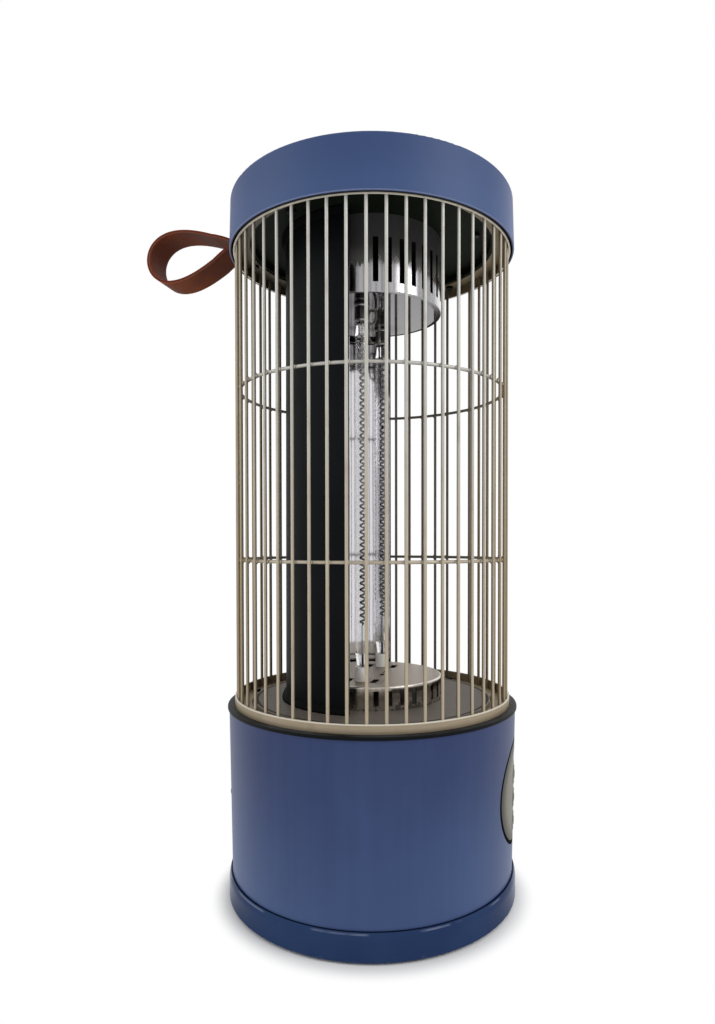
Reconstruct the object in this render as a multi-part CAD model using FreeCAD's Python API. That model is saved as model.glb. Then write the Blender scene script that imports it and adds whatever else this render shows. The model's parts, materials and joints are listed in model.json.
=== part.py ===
"""Lantern-shaped portable electric heater: a drum base, a wire cage round two quartz lamps, and a cap.

Millimetres, +Z up.  The origin lies on the floor, on the axis of the drum.  The heater faces -Y, and its
carry strap and cable gland are at the back, on +Y.
"""
import math
import os

import FreeCAD
import Part

vec = FreeCAD.Vector
AXIS_X = vec(1, 0, 0)
AXIS_Y = vec(0, 1, 0)
AXIS_Z = vec(0, 0, 1)
FRONT = 270.0
BACK = 90.0

# Clearances
weld_gap = 0.05
seat_gap = 0.1
slip_gap = 0.2
fit_gap = 0.3
hinge_gap = 0.4

# Cage: upright wires that lean out a little, inside two angle rings, with two ring wires inside them
wire_count = 51
wire_d = 2.5
cage_r = 108.6
cage_flare = 1.3
cage_clear_height = 367.2
lower_hoop_height = 265.8
upper_hoop_height = 400.9
band_sheet = 1.2
flange_width = 13.2
lower_band_height = 7.8
upper_band_height = 8.6

# Base: pan on rubber feet, tapered drum, trim ring and deck plate
foot_drop = 1.2
foot_r = 9.0
foot_seat_depth = 1.0
foot_inset = 20.0
foot_count = 4
pan_height = 20.1
pan_wall = 4.6
pan_floor = 2.4
pan_groove = 1.0
pan_lip = 1.5
pan_shoulder_width = 1.1
pan_shoulder_height = 5.7
pan_foot_bevel = 1.0
seat_depth = 1.5
drum_height = 129.1
drum_taper = 2.6
drum_sheet = 1.2
drum_edge_round = 0.9
drum_flange_width = 14.0
trim_shelf = 4.5
trim_overhang = 1.2
trim_height = 2.4
trim_round = 1.0
deck_sheet = 1.2
deck_rise = 3.6
deck_groove = 2.0
lead_hole_r = 5.0

# Cap, and the ceiling plate recessed in it
cap_groove = 1.5
cap_wall = 1.5
cap_roof = 2.0
cap_drop = 7.8
cap_height = 40.2
cap_taper = 1.0
cap_edge_round = 2.2
cap_lip_bevel = 0.7
ceiling_sheet = 1.2
ceiling_rise = 5.0
ceiling_step = 1.2
cap_post_r = 4.5

# Lamp group: slotted chrome deck and cup, polished mirror and black shell
lamp_deck_r = 57.0
lamp_deck_height = 18.0
lamp_cup_height = 59.0
chrome_sheet = 1.0
chrome_round = 1.4
slot_count = 15
slot_step = 10.4
slot_width = 4.2
deck_slot_margin = 3.3
cup_slot_low_margin = 8.0
cup_slot_high_margin = 17.4
slit_length = 14.0
slit_width = 5.0
slit_gap = 2.4
middle_slit_length = 8.0
middle_slit_width = 3.4
middle_slit_bridge = 3.6
mirror_gap = 9.3
mirror_sheet = 0.5
shell_gap = 2.7
shell_sheet = 1.0
shell_foot_width = 3.2
shell_foot_height = 6.0
shell_foot_edge = 1.4
shell_foot_sheet = 1.2
vent_rows = 4
vent_height = 8.0
vent_width = 5.0
vent_angle = 25.0
vent_end_margin = 36.0

# Lamps
lamp_pitch = 66.0
tube_d = 10.0
tube_wall = 1.0
stub_d = 7.5
shoulder_length = 8.0
stub_reach = 1.5
ceramic_d = 10.4
ceramic_length = 17.0
ceramic_pocket = 7.0
ceramic_drop = 15.0
coil_wire_d = 1.5
coil_d = 5.2
coil_pitch = 5.25
coil_low_margin = 24.0
coil_high_margin = 2.5
coil_tail_bend = 1.6
bracket_rise = 12.0
bracket_sheet = 1.5
bracket_depth = 18.0
bracket_overhang = 11.0

# Controls
panel_r = 40.8
panel_outline = 2.6
panel_sheet = 1.4
panel_rise = 2.1
bezel_depth = 4.0
bezel_flange = 3.0
bezel_flange_sheet = 1.5
button_r = 7.0
button_pitch = 18.0
button_drop = 7.0
button_proud = 0.4
button_flange = 1.5
button_flange_sheet = 1.5
button_stem_r = 2.5
button_travel = 1.2
lens_width = 14.0
lens_height = 8.0
lens_rise = 26.0
board_depth = 16.0
board_width = 36.0
board_height = 62.0
board_sheet = 1.6
board_post_r = 3.0
board_post_inset = 4.0
switch_side = 6.0
switch_height = 1.5

# Mains entry, wiring and safety switches
gland_bore_r = 3.7
gland_barrel_r = 5.75
gland_barrel_length = 8.0
gland_drop = 21.9
gland_flange_r = 9.0
gland_flange_sheet = 3.0
gland_thread_r = 5.0
gland_thread_length = 10.0
gland_nut_width = 16.0
gland_nut_sheet = 4.0
block_width = 44.0
block_depth = 18.0
block_height = 14.0
block_back = 58.0
block_ways = 3
block_well_r = 3.0
block_well_depth = 8.0
cutout_r = 8.5
cutout_height = 7.0
cutout_back = 26.0
plunger_front = 70.0
plunger_r = 6.0
plunger_flange_r = 8.0
plunger_flange_sheet = 2.0
plunger_stem_r = 2.5
plunger_travel = 5.0
spring_length = 14.0
spring_r = 5.5
spring_wall = 1.0
tip_switch_width = 30.0
tip_switch_depth = 16.0
tip_switch_height = 12.0
tip_leg_width = 5.0

# Carry strap
strap_width = 29.0
strap_thick = 2.2
strap_loop_r = 20.8
strap_reach = 61.5
strap_droop = 6.5
strap_seam = 12.0
strap_tail_length = 18.0
strap_rise = 22.9
strap_clamp_sheet = 1.5
strap_screw_inset = 7.0

# Fasteners
screw_shank_r = 1.6
screw_head_r = 3.2
screw_head_height = 2.2
screw_length = 8.0
cap_screw_length = 14.0
base_screw_length = 14.0
fastener_count = 3

# Radii worked out from the cage
wire_r = wire_d / 2
band_in_r = cage_r + wire_r + weld_gap
band_r = band_in_r + band_sheet
flange_in_r = band_r - flange_width
cage_screw_r = (flange_in_r + cage_r - wire_r) / 2
cage_top_r = cage_r + cage_flare
drum_top_r = band_r + trim_shelf
drum_bottom_r = drum_top_r - drum_taper
trim_in_r = band_r + fit_gap
trim_r = drum_top_r + trim_overhang
lip_in_r = flange_in_r
seat_r = drum_bottom_r + pan_groove
pan_r = seat_r + pan_lip
pan_in_r = pan_r - pan_wall
drum_flange_in_r = drum_bottom_r - drum_flange_width
base_screw_r = (drum_flange_in_r + pan_in_r) / 2
deck_r = flange_in_r - deck_groove
cap_in_r = band_r + cage_flare + cap_groove
cap_bottom_r = cap_in_r + cap_wall
cap_top_r = cap_bottom_r - cap_taper
ceiling_r = flange_in_r + cage_flare - ceiling_step
mirror_in_r = lamp_deck_r + mirror_gap
mirror_r = mirror_in_r + mirror_sheet
shell_in_r = mirror_r + shell_gap
shell_r = shell_in_r + shell_sheet
shell_foot_in_r = shell_r + seat_gap
shell_foot_r = shell_foot_in_r + shell_foot_width
ceiling_in_r = ceiling_r - ceiling_sheet
cap_post_circle_r = (shell_foot_r + ceiling_in_r) / 2

# Heights worked out from the floor upwards
pan_bottom = foot_drop
pan_top = pan_bottom + pan_height
floor_top = pan_bottom + pan_floor
drum_bottom = pan_top - seat_depth
drum_top = drum_bottom + drum_height
rim_top = drum_top + deck_sheet
deck_top = rim_top + deck_rise
deck_under = deck_top - deck_sheet
wire_bottom = rim_top + band_sheet
wire_top = wire_bottom + cage_clear_height
upper_rim = wire_top + band_sheet
ceiling_under = upper_rim + ceiling_rise
ceiling_top = ceiling_under + ceiling_sheet
cap_bottom = upper_rim - cap_drop
cap_top = cap_bottom + cap_height
cap_under = cap_top - cap_roof
lamp_deck_top = deck_top + lamp_deck_height
lamp_cup_bottom = ceiling_under - lamp_cup_height
low_bracket_top = deck_top + bracket_rise
low_ceramic_top = low_bracket_top + ceramic_length
high_ceramic_bottom = lamp_cup_bottom - ceramic_drop
high_ceramic_top = high_ceramic_bottom + ceramic_length
tube_bottom = low_ceramic_top - ceramic_pocket + seat_gap
tube_top = high_ceramic_bottom + ceramic_pocket - seat_gap
barrel_bottom = low_ceramic_top + stub_reach + shoulder_length
barrel_top = high_ceramic_bottom - stub_reach - shoulder_length
coil_bottom = barrel_bottom + coil_low_margin
coil_turns = int((barrel_top - coil_high_margin - coil_bottom) / coil_pitch)
panel_z = (drum_bottom + drum_top) / 2 + panel_rise
gland_z = panel_z - gland_drop
fastener_angles = [BACK + index * 360.0 / fastener_count for index in range(fastener_count)]


# Shape helpers

def polar(radius, degrees, height):
    """Point at a radius and a compass angle about the heater's axis."""
    angle = math.radians(degrees)
    return vec(radius * math.cos(angle), radius * math.sin(angle), height)


def revolve(profile, degrees=360.0):
    """Solid of revolution about Z of a closed outline of (radius, height) corners."""
    corners = [vec(radius, 0, height) for radius, height in profile]
    face = Part.Face(Part.makePolygon(corners + corners[:1]))
    return face.revolve(vec(0, 0, 0), AXIS_Z, degrees)


def upright(radius, bottom, top, place=vec(0, 0, 0)):
    """Upright cylinder between two heights."""
    return Part.makeCylinder(radius, top - bottom, vec(place.x, place.y, bottom))


def along_y(radius, start, end, x, z):
    """Cylinder parallel to Y from y = start to y = end."""
    return Part.makeCylinder(radius, end - start, vec(x, start, z), AXIS_Y)


def box(low, high):
    """Box between two opposite corners."""
    return Part.makeBox(high[0] - low[0], high[1] - low[1], high[2] - low[2], vec(*low))


def fuse(first, *others):
    """One solid made of touching or crossing solids."""
    return first.multiFuse(list(others)).removeSplitter()


def round_circle(shape, amount, radius, height):
    """Round the circular edge of that radius and height."""
    near = 1e-4
    edges = []
    for edge in shape.Edges:
        if not isinstance(edge.Curve, Part.Circle):
            continue
        if abs(edge.Curve.Radius - radius) < near and abs(edge.Curve.Center.z - height) < near:
            edges.append(edge)
    return shape.makeFillet(amount, edges)


def drum_r_at(height):
    """Outer radius of the tapered drum at a height."""
    return drum_bottom_r + drum_taper * (height - drum_bottom) / drum_height


def cap_r_at(height):
    """Outer radius of the tapered cap at a height."""
    return cap_bottom_r - cap_taper * (height - cap_bottom) / cap_height


def drum_skin(outer_offset, inner_offset):
    """Tapered tube between two offsets from the drum's outer face, over the drum's height."""
    return revolve([
        (drum_bottom_r + inner_offset, drum_bottom),
        (drum_bottom_r + outer_offset, drum_bottom),
        (drum_top_r + outer_offset, drum_top),
        (drum_top_r + inner_offset, drum_top),
    ])


def panel_plug(radius, x=0.0, z=None):
    """Cylinder through the front of the drum, for pieces that share the panel's outline."""
    return along_y(radius, -drum_top_r - trim_shelf, -drum_top_r / 2, x, panel_z if z is None else z)


def screw(place, direction, length):
    """Pan-head screw whose head sits on place, with its shank along direction."""
    head = Part.makeCylinder(screw_head_r, screw_head_height, place, -direction)
    shank = Part.makeCylinder(screw_shank_r, length, place, direction)
    return fuse(head, shank)


def screw_holes(radius, angles, bottom, top):
    """Clearance holes for screws on a circle about the axis."""
    holes = [upright(screw_shank_r + seat_gap, bottom, top, polar(radius, angle, 0)) for angle in angles]
    return Part.makeCompound(holes)


# Base

def pan_shoulder():
    """Arc that leaves the pan's wall upright and leans in to the lip."""
    bulge_r = (pan_shoulder_height ** 2 + pan_shoulder_width ** 2) / (2 * pan_shoulder_width)
    turn = math.asin(pan_shoulder_height / bulge_r)
    start = pan_top - pan_shoulder_height
    points = [vec(pan_r - bulge_r * (1 - math.cos(angle)), 0, start + bulge_r * math.sin(angle))
              for angle in (0, turn / 2, turn)]
    return Part.Arc(*points).toShape()


def make_base_pan():
    shoulder = pan_shoulder()
    corners = [
        (pan_r - pan_shoulder_width, pan_top),
        (seat_r, pan_top),
        (seat_r, drum_bottom),
        (pan_in_r, drum_bottom),
        (pan_in_r, floor_top),
        (0, floor_top),
        (0, pan_bottom),
        (pan_r - pan_foot_bevel, pan_bottom),
        (pan_r, pan_bottom + pan_foot_bevel),
        (pan_r, pan_top - pan_shoulder_height),
    ]
    outline = Part.makePolygon([vec(radius, 0, height) for radius, height in corners])
    pan = Part.Face(Part.Wire([shoulder] + outline.Edges)).revolve(vec(0, 0, 0), AXIS_Z, 360.0)
    bosses = [upright(screw_head_r + pan_floor, floor_top, drum_bottom, polar(base_screw_r, angle, 0))
              for angle in fastener_angles]
    pan = fuse(pan, *bosses)
    head_top = pan_bottom + screw_head_height
    cuts = [screw_holes(base_screw_r, fastener_angles, pan_bottom, drum_bottom)]
    cuts += [upright(screw_head_r + slip_gap, pan_bottom, head_top, polar(base_screw_r, angle, 0))
             for angle in fastener_angles]
    cuts += [upright(foot_r + slip_gap, pan_bottom, pan_bottom + foot_seat_depth, place)
             for place in foot_places()]
    cuts.append(upright(plunger_r + fit_gap, pan_bottom, floor_top, vec(0, -plunger_front, 0)))
    return pan.cut(cuts)


def foot_places():
    """Centres of the rubber feet, evenly spaced, with one each side of the front and of the back."""
    step = 360.0 / foot_count
    return [polar(pan_r - foot_inset, BACK + step * (index + 0.5), 0) for index in range(foot_count)]


def make_rubber_feet():
    feet = []
    for place in foot_places():
        pad = upright(foot_r, 0, foot_drop + foot_seat_depth, place)
        lower = [edge for edge in pad.Edges if edge.BoundBox.ZMax < foot_drop / 2]
        feet.append(pad.makeChamfer(foot_drop / 3, lower))
    return Part.makeCompound(feet)


def make_base_screws():
    seat = pan_bottom + screw_head_height
    return Part.makeCompound([screw(polar(base_screw_r, angle, seat), AXIS_Z, base_screw_length + pan_floor)
                              for angle in fastener_angles])


def make_drum_shell():
    drum = revolve([
        (drum_bottom_r, drum_bottom),
        (drum_top_r, drum_top),
        (lip_in_r, drum_top),
        (lip_in_r, drum_top - drum_sheet),
        (drum_top_r - drum_sheet, drum_top - drum_sheet),
        (drum_bottom_r - drum_sheet, drum_bottom + drum_sheet),
        (drum_flange_in_r, drum_bottom + drum_sheet),
        (drum_flange_in_r, drum_bottom),
    ])
    drum = round_circle(drum, drum_edge_round, drum_top_r, drum_top)
    return drum.cut([
        panel_plug(panel_r + slip_gap),
        along_y(gland_thread_r + slip_gap, drum_bottom_r / 2, drum_top_r, 0, gland_z),
        screw_holes(cage_screw_r, fastener_angles, drum_top - drum_sheet, drum_top),
        screw_holes(base_screw_r, fastener_angles, drum_bottom, drum_bottom + drum_sheet),
    ])


def make_trim_ring():
    ring = revolve([
        (trim_in_r, drum_top),
        (trim_r, drum_top),
        (trim_r, drum_top + trim_height),
        (trim_in_r, drum_top + trim_height),
    ])
    return round_circle(ring, trim_round, trim_r, drum_top + trim_height)


def make_deck_plate():
    inner_r = deck_r - deck_sheet
    deck = revolve([
        (0, deck_under),
        (inner_r, deck_under),
        (inner_r, drum_top),
        (band_r, drum_top),
        (band_r, rim_top),
        (deck_r, rim_top),
        (deck_r, deck_top),
        (0, deck_top),
    ])
    lead_holes = [upright(lead_hole_r, deck_under, deck_top, vec(x, 0, 0)) for x in lamp_xs()]
    return deck.cut(lead_holes + [screw_holes(cage_screw_r, fastener_angles, drum_top, rim_top)])


# Cage

def cage_r_at(height):
    """Radius of the uprights' circle, which widens from the lower ring to the upper one."""
    return cage_r + cage_flare * (height - wire_bottom) / cage_clear_height


def make_cage_wires():
    """Leaning uprights, shortened so that their square-cut ends only just touch the flanges."""
    step = 360.0 / wire_count
    wires = []
    for index in range(wire_count):
        angle = FRONT + index * step
        foot = polar(cage_r, angle, wire_bottom)
        rise = polar(cage_top_r, angle, wire_top) - foot
        lift = wire_r * cage_flare / rise.Length
        start = foot + rise * (lift / rise.Length)
        wires.append(Part.makeCylinder(wire_r, rise.Length - 2 * lift, start, rise))
    return Part.makeCompound(wires)


def make_hoop(height):
    """One ring wire inside the uprights."""
    return Part.makeTorus(cage_r_at(height) - wire_d - weld_gap, wire_r, vec(0, 0, height), AXIS_Z)


def make_angle_ring(widening, flange_bottom, band_low, band_high):
    """Angle-section ring: a flat flange under or over the wire ends, and a band outside them."""
    flange = revolve([
        (flange_in_r + widening, flange_bottom),
        (band_r + widening, flange_bottom),
        (band_r + widening, flange_bottom + band_sheet),
        (flange_in_r + widening, flange_bottom + band_sheet),
    ])
    band = revolve([
        (band_in_r + widening, band_low),
        (band_r + widening, band_low),
        (band_r + widening, band_high),
        (band_in_r + widening, band_high),
    ])
    screw_r = cage_screw_r + widening
    holes = screw_holes(screw_r, fastener_angles, flange_bottom, flange_bottom + band_sheet)
    return fuse(flange, band).cut(holes)


def make_lower_cage_ring():
    return make_angle_ring(0, rim_top, rim_top, rim_top + lower_band_height)


def make_upper_cage_ring():
    return make_angle_ring(cage_flare, wire_top, upper_rim - upper_band_height, upper_rim)


def make_cage_screws():
    screws = []
    for angle in fastener_angles:
        screws.append(screw(polar(cage_screw_r, angle, wire_bottom), -AXIS_Z, screw_length))
        screws.append(screw(polar(cage_screw_r + cage_flare, angle, wire_top), AXIS_Z, screw_length))
    return Part.makeCompound(screws)


# Cap

def strap_root():
    """Point on the strap's flex axis, just outside the cap's back wall."""
    height = cap_bottom + strap_rise
    return vec(0, cap_r_at(height) + hinge_gap + strap_thick, height)


def cap_post_angles():
    """The cap's posts stand between the cage screws, clear of the strap's clamp."""
    return [angle + 180.0 / fastener_count for angle in fastener_angles]


def make_top_cap():
    cap = revolve([
        (cap_in_r, cap_bottom),
        (cap_bottom_r - cap_lip_bevel, cap_bottom),
        (cap_r_at(cap_bottom + cap_lip_bevel), cap_bottom + cap_lip_bevel),
        (cap_top_r, cap_top),
        (0, cap_top),
        (0, cap_under),
        (cap_r_at(cap_under) - cap_wall, cap_under),
    ])
    cap = round_circle(cap, cap_edge_round, cap_top_r, cap_top)
    posts = [upright(cap_post_r, ceiling_top, cap_under, polar(cap_post_circle_r, angle, 0))
             for angle in cap_post_angles()]
    root = strap_root()
    tail_start = strap_tail_start()
    clamp_boss = box((-strap_width / 2, tail_start, root.z + strap_thick),
                     (strap_width / 2, tail_start + 2 * strap_screw_inset, cap_under))
    cap = fuse(cap, clamp_boss, *posts)
    slot_half_width = strap_width / 2 + slip_gap
    slot_half_height = strap_thick + slip_gap
    slot = box((-slot_half_width, tail_start + 2 * strap_screw_inset, root.z - slot_half_height),
               (slot_half_width, cap_bottom_r + cap_wall, root.z + slot_half_height))
    post_holes = [upright(screw_shank_r + seat_gap, ceiling_top, ceiling_top + cap_screw_length,
                          polar(cap_post_circle_r, angle, 0)) for angle in cap_post_angles()]
    clamp_holes = [upright(screw_shank_r + seat_gap, root.z, root.z + strap_thick + screw_length, place)
                   for place in strap_screw_places()]
    return cap.cut([slot] + post_holes + clamp_holes)


def make_ceiling_plate():
    rim_r = cap_in_r - cap_taper - fit_gap
    plate = revolve([
        (0, ceiling_under),
        (ceiling_in_r, ceiling_under),
        (ceiling_in_r, upper_rim),
        (rim_r, upper_rim),
        (rim_r, upper_rim + ceiling_sheet),
        (ceiling_r, upper_rim + ceiling_sheet),
        (ceiling_r, ceiling_top),
        (0, ceiling_top),
    ])
    return plate.cut([
        screw_holes(cage_screw_r + cage_flare, fastener_angles, upper_rim, upper_rim + ceiling_sheet),
        screw_holes(cap_post_circle_r, cap_post_angles(), ceiling_under, ceiling_top),
    ])


def make_cap_screws():
    seats = [polar(cap_post_circle_r, angle, ceiling_under) for angle in cap_post_angles()]
    return Part.makeCompound([screw(seat, AXIS_Z, cap_screw_length) for seat in seats])


# Carry strap

def strap_tail_start():
    """Inner end of the strap's clamped tail."""
    root = strap_root()
    return root.y - strap_thick - fit_gap - strap_tail_length


def strap_screw_places():
    reach = strap_width / 2 - strap_screw_inset
    depth = strap_tail_start() + strap_screw_inset
    return [vec(-reach, depth, 0), vec(reach, depth, 0)]


def make_strap_tail():
    root = strap_root()
    start = strap_tail_start()
    tail = box((-strap_width / 2, start, root.z - strap_thick),
               (strap_width / 2, start + strap_tail_length, root.z + strap_thick))
    return tail.cut([upright(screw_shank_r + seat_gap, root.z - strap_thick, root.z + strap_thick, place)
                     for place in strap_screw_places()])


def make_strap_clamp():
    root = strap_root()
    start = strap_tail_start()
    top = root.z - strap_thick
    plate = box((-strap_width / 2, start, top - strap_clamp_sheet),
                (strap_width / 2, start + 2 * strap_screw_inset, top))
    return plate.cut([upright(screw_shank_r + seat_gap, top - strap_clamp_sheet, top, place)
                      for place in strap_screw_places()])


def make_strap_screws():
    root = strap_root()
    seat = root.z - strap_thick - strap_clamp_sheet
    length = strap_clamp_sheet + strap_thick + screw_length
    return Part.makeCompound([screw(vec(place.x, place.y, seat), AXIS_Z, length)
                              for place in strap_screw_places()])


def make_carry_strap():
    """Teardrop loop: two sewn strands leave a round nose on the flex axis and open into a loop."""
    nose_r = strap_thick
    outer_r = strap_loop_r + strap_thick / 2
    inner_r = strap_loop_r - strap_thick / 2
    slope = math.asin((outer_r - nose_r) / strap_reach)
    side = math.sin(slope)
    rise = math.cos(slope)

    def place(along, across):
        return vec(-strap_width / 2, along, across)

    def loop_edges(radius):
        high = place(strap_reach - radius * side, radius * rise)
        low = place(strap_reach - radius * side, -radius * rise)
        return high, low, Part.Arc(high, place(strap_reach + radius, 0), low).toShape()

    nose_high = place(-nose_r * side, nose_r * rise)
    nose_low = place(-nose_r * side, -nose_r * rise)
    high, low, outer_arc = loop_edges(outer_r)
    outer = Part.Wire([
        Part.Arc(nose_low, place(-nose_r, 0), nose_high).toShape(),
        Part.makeLine(nose_high, high),
        outer_arc,
        Part.makeLine(low, nose_low),
    ])
    seam_high = place(strap_seam, strap_seam * math.tan(slope))
    seam_low = place(strap_seam, -strap_seam * math.tan(slope))
    high, low, inner_arc = loop_edges(inner_r)
    inner = Part.Wire([
        Part.makeLine(seam_low, seam_high),
        Part.makeLine(seam_high, high),
        inner_arc,
        Part.makeLine(low, seam_low),
    ])
    strap = Part.Face(outer).cut(Part.Face(inner)).extrude(vec(strap_width, 0, 0))
    strap.rotate(vec(0, 0, 0), AXIS_X, -strap_droop)
    strap.translate(strap_root())
    return strap.Solids[0]


# Lamp group

def lamp_xs():
    return (-lamp_pitch / 2, lamp_pitch / 2)


def wall_slots(low, high):
    """Vent slots in the front half of a chrome wall, between two heights."""
    slots = []
    for index in range(slot_count):
        slot = box((lamp_deck_r - 2 * chrome_sheet, -slot_width / 2, low),
                   (lamp_deck_r + chrome_sheet, slot_width / 2, high))
        slot.rotate(vec(0, 0, 0), AXIS_Z, FRONT + (index - (slot_count - 1) / 2) * slot_step)
        slots.append(slot)
    return slots


def roof_slits(x, length, width):
    """A pair of cooling slits through the deck's roof, in front of and behind the lamps' plane."""
    near = ceramic_d / 2 + fit_gap + slit_gap
    low = lamp_deck_top - chrome_sheet
    return [box((x - length / 2, min(side * near, side * (near + width)), low),
                (x + length / 2, max(side * near, side * (near + width)), lamp_deck_top))
            for side in (-1, 1)]


def make_lamp_deck():
    inner_r = lamp_deck_r - chrome_sheet
    cover = revolve([
        (inner_r, deck_top),
        (lamp_deck_r, deck_top),
        (lamp_deck_r, lamp_deck_top),
        (0, lamp_deck_top),
        (0, lamp_deck_top - chrome_sheet),
        (inner_r, lamp_deck_top - chrome_sheet),
    ])
    cover = round_circle(cover, chrome_round, lamp_deck_r, lamp_deck_top)
    cuts = wall_slots(deck_top + deck_slot_margin, lamp_deck_top - deck_slot_margin)
    hole_r = ceramic_d / 2 + fit_gap
    for x in lamp_xs():
        cuts.append(upright(hole_r, lamp_deck_top - chrome_sheet, lamp_deck_top, vec(x, 0, 0)))
        cuts += roof_slits(x, slit_length, slit_width)
    for side in (-1, 1):
        middle = side * (middle_slit_bridge + middle_slit_length) / 2
        cuts += roof_slits(middle, middle_slit_length, middle_slit_width)
    return cover.cut(cuts)


def make_lamp_cup():
    inner_r = lamp_deck_r - chrome_sheet
    cup = revolve([
        (0, lamp_cup_bottom),
        (lamp_deck_r, lamp_cup_bottom),
        (lamp_deck_r, ceiling_under),
        (inner_r, ceiling_under),
        (inner_r, lamp_cup_bottom + chrome_sheet),
        (0, lamp_cup_bottom + chrome_sheet),
    ])
    cup = round_circle(cup, chrome_round, lamp_deck_r, lamp_cup_bottom)
    cuts = wall_slots(lamp_cup_bottom + cup_slot_low_margin, ceiling_under - cup_slot_high_margin)
    cuts += [upright(ceramic_d / 2 + fit_gap, lamp_cup_bottom, lamp_cup_bottom + chrome_sheet, vec(x, 0, 0))
             for x in lamp_xs()]
    return cup.cut(cuts)


def half_tube(inner_r, outer_r):
    """Half cylinder open to the front, from the deck plate to the ceiling plate."""
    return revolve([
        (inner_r, deck_top),
        (outer_r, deck_top),
        (outer_r, ceiling_under),
        (inner_r, ceiling_under),
    ], 180.0)


def make_reflector_mirror():
    return half_tube(mirror_in_r, mirror_r)


def make_reflector_shell():
    hem_in_r = mirror_r + seat_gap
    hem_r = shell_in_r + shell_sheet / 2
    left_hem = box((-hem_r, 0, deck_top), (-hem_in_r, shell_sheet, ceiling_under))
    right_hem = box((hem_in_r, 0, deck_top), (hem_r, shell_sheet, ceiling_under))
    shell = fuse(half_tube(shell_in_r, shell_r), left_hem, right_hem)
    vents = []
    step = (ceiling_under - deck_top - 2 * vent_end_margin) / (vent_rows - 1)
    for row in range(vent_rows):
        middle = deck_top + vent_end_margin + row * step
        for angle in (BACK - vent_angle, BACK + vent_angle):
            vent = box((shell_in_r - shell_sheet, -vent_width / 2, middle - vent_height / 2),
                       (shell_r + shell_sheet, vent_width / 2, middle + vent_height / 2))
            vent.rotate(vec(0, 0, 0), AXIS_Z, angle)
            vents.append(vent)
    return shell.cut(vents)


def make_shell_flanges():
    """Flared half rings that hold the shell to the deck plate and to the ceiling plate."""
    collar_r = shell_foot_in_r + shell_foot_sheet
    halves = []
    for face, up in ((deck_top, 1), (ceiling_under, -1)):
        halves.append(revolve([
            (shell_foot_in_r, face),
            (shell_foot_r, face),
            (shell_foot_r, face + up * shell_foot_edge),
            (collar_r, face + up * shell_foot_height),
            (shell_foot_in_r, face + up * shell_foot_height),
        ], 180.0))
    return Part.makeCompound(halves)


def make_lamp_bracket(seat, plate_low, plate_high):
    """Hat-shaped steel bracket across both lamps, standing on or hanging from a flat seat."""
    reach = lamp_pitch / 2 + bracket_overhang
    depth = bracket_depth / 2
    low = min(seat, plate_low)
    high = max(seat, plate_high)
    plate = box((-reach, -depth, plate_low), (reach, depth, plate_high))
    left = box((-reach, -depth, low), (-reach + bracket_sheet, depth, high))
    right = box((reach - bracket_sheet, -depth, low), (reach, depth, high))
    return fuse(plate, left, right)


def make_lower_lamp_bracket():
    return make_lamp_bracket(deck_top, low_bracket_top - bracket_sheet, low_bracket_top)


def make_upper_lamp_bracket():
    return make_lamp_bracket(ceiling_under, high_ceramic_top, high_ceramic_top + bracket_sheet)


def make_ceramics(bottom, pocket_low, pocket_high):
    """The two ceramic lamp ends at one level, each with a round pocket for the glass."""
    ends = []
    for x in lamp_xs():
        body = upright(ceramic_d / 2, bottom, bottom + ceramic_length, vec(x, 0, 0))
        ends.append(body.cut(upright(stub_d / 2 + seat_gap, pocket_low, pocket_high, vec(x, 0, 0))))
    return Part.makeCompound(ends)


def make_lower_ceramics():
    return make_ceramics(low_bracket_top, low_ceramic_top - ceramic_pocket, low_ceramic_top)


def make_upper_ceramics():
    return make_ceramics(high_ceramic_bottom, high_ceramic_bottom, high_ceramic_bottom + ceramic_pocket)


def coil_slope():
    """Climb angle of the coil's turns."""
    return math.atan2(coil_pitch, 2 * math.pi * coil_centre_r())


def coil_centre_r():
    return (coil_d - coil_wire_d) / 2


def tail_offset():
    """Place of the coil's straight tails beside the lamp's axis."""
    return vec(coil_centre_r(), -coil_tail_bend * (1 - math.sin(coil_slope())), 0)


def make_quartz_tube(x):
    outer_r = tube_d / 2
    inner_r = outer_r - tube_wall
    stub_r = stub_d / 2
    stub_low = low_ceramic_top + stub_reach
    stub_high = high_ceramic_bottom - stub_reach
    outside = revolve([
        (0, tube_bottom),
        (stub_r, tube_bottom),
        (stub_r, stub_low),
        (outer_r, barrel_bottom),
        (outer_r, barrel_top),
        (stub_r, stub_high),
        (stub_r, tube_top),
        (0, tube_top),
    ])
    inside = revolve([
        (0, barrel_bottom),
        (inner_r, barrel_bottom + tube_wall),
        (inner_r, barrel_top - tube_wall),
        (0, barrel_top),
    ])
    tail_r = coil_wire_d / 2 + seat_gap
    offset = tail_offset()
    low_tail = upright(tail_r, tube_bottom, barrel_bottom + tube_wall, offset)
    high_tail = upright(tail_r, barrel_top - tube_wall, tube_top, vec(offset.x, -offset.y, 0))
    tube = outside.cut([inside, low_tail, high_tail])
    tube.translate(vec(x, 0, 0))
    return tube


def arc_from_tangent(start, tangent, end):
    """Circular arc from start, leaving along tangent, to end."""
    chord = end - start
    half = chord.Length / 2
    along = chord / chord.Length
    across = tangent - along * tangent.dot(along)
    lean = math.atan2(across.Length, tangent.dot(along))
    middle = start + chord / 2 + across / across.Length * half * math.tan(lean / 2)
    return Part.Arc(start, middle, end).toShape()


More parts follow.
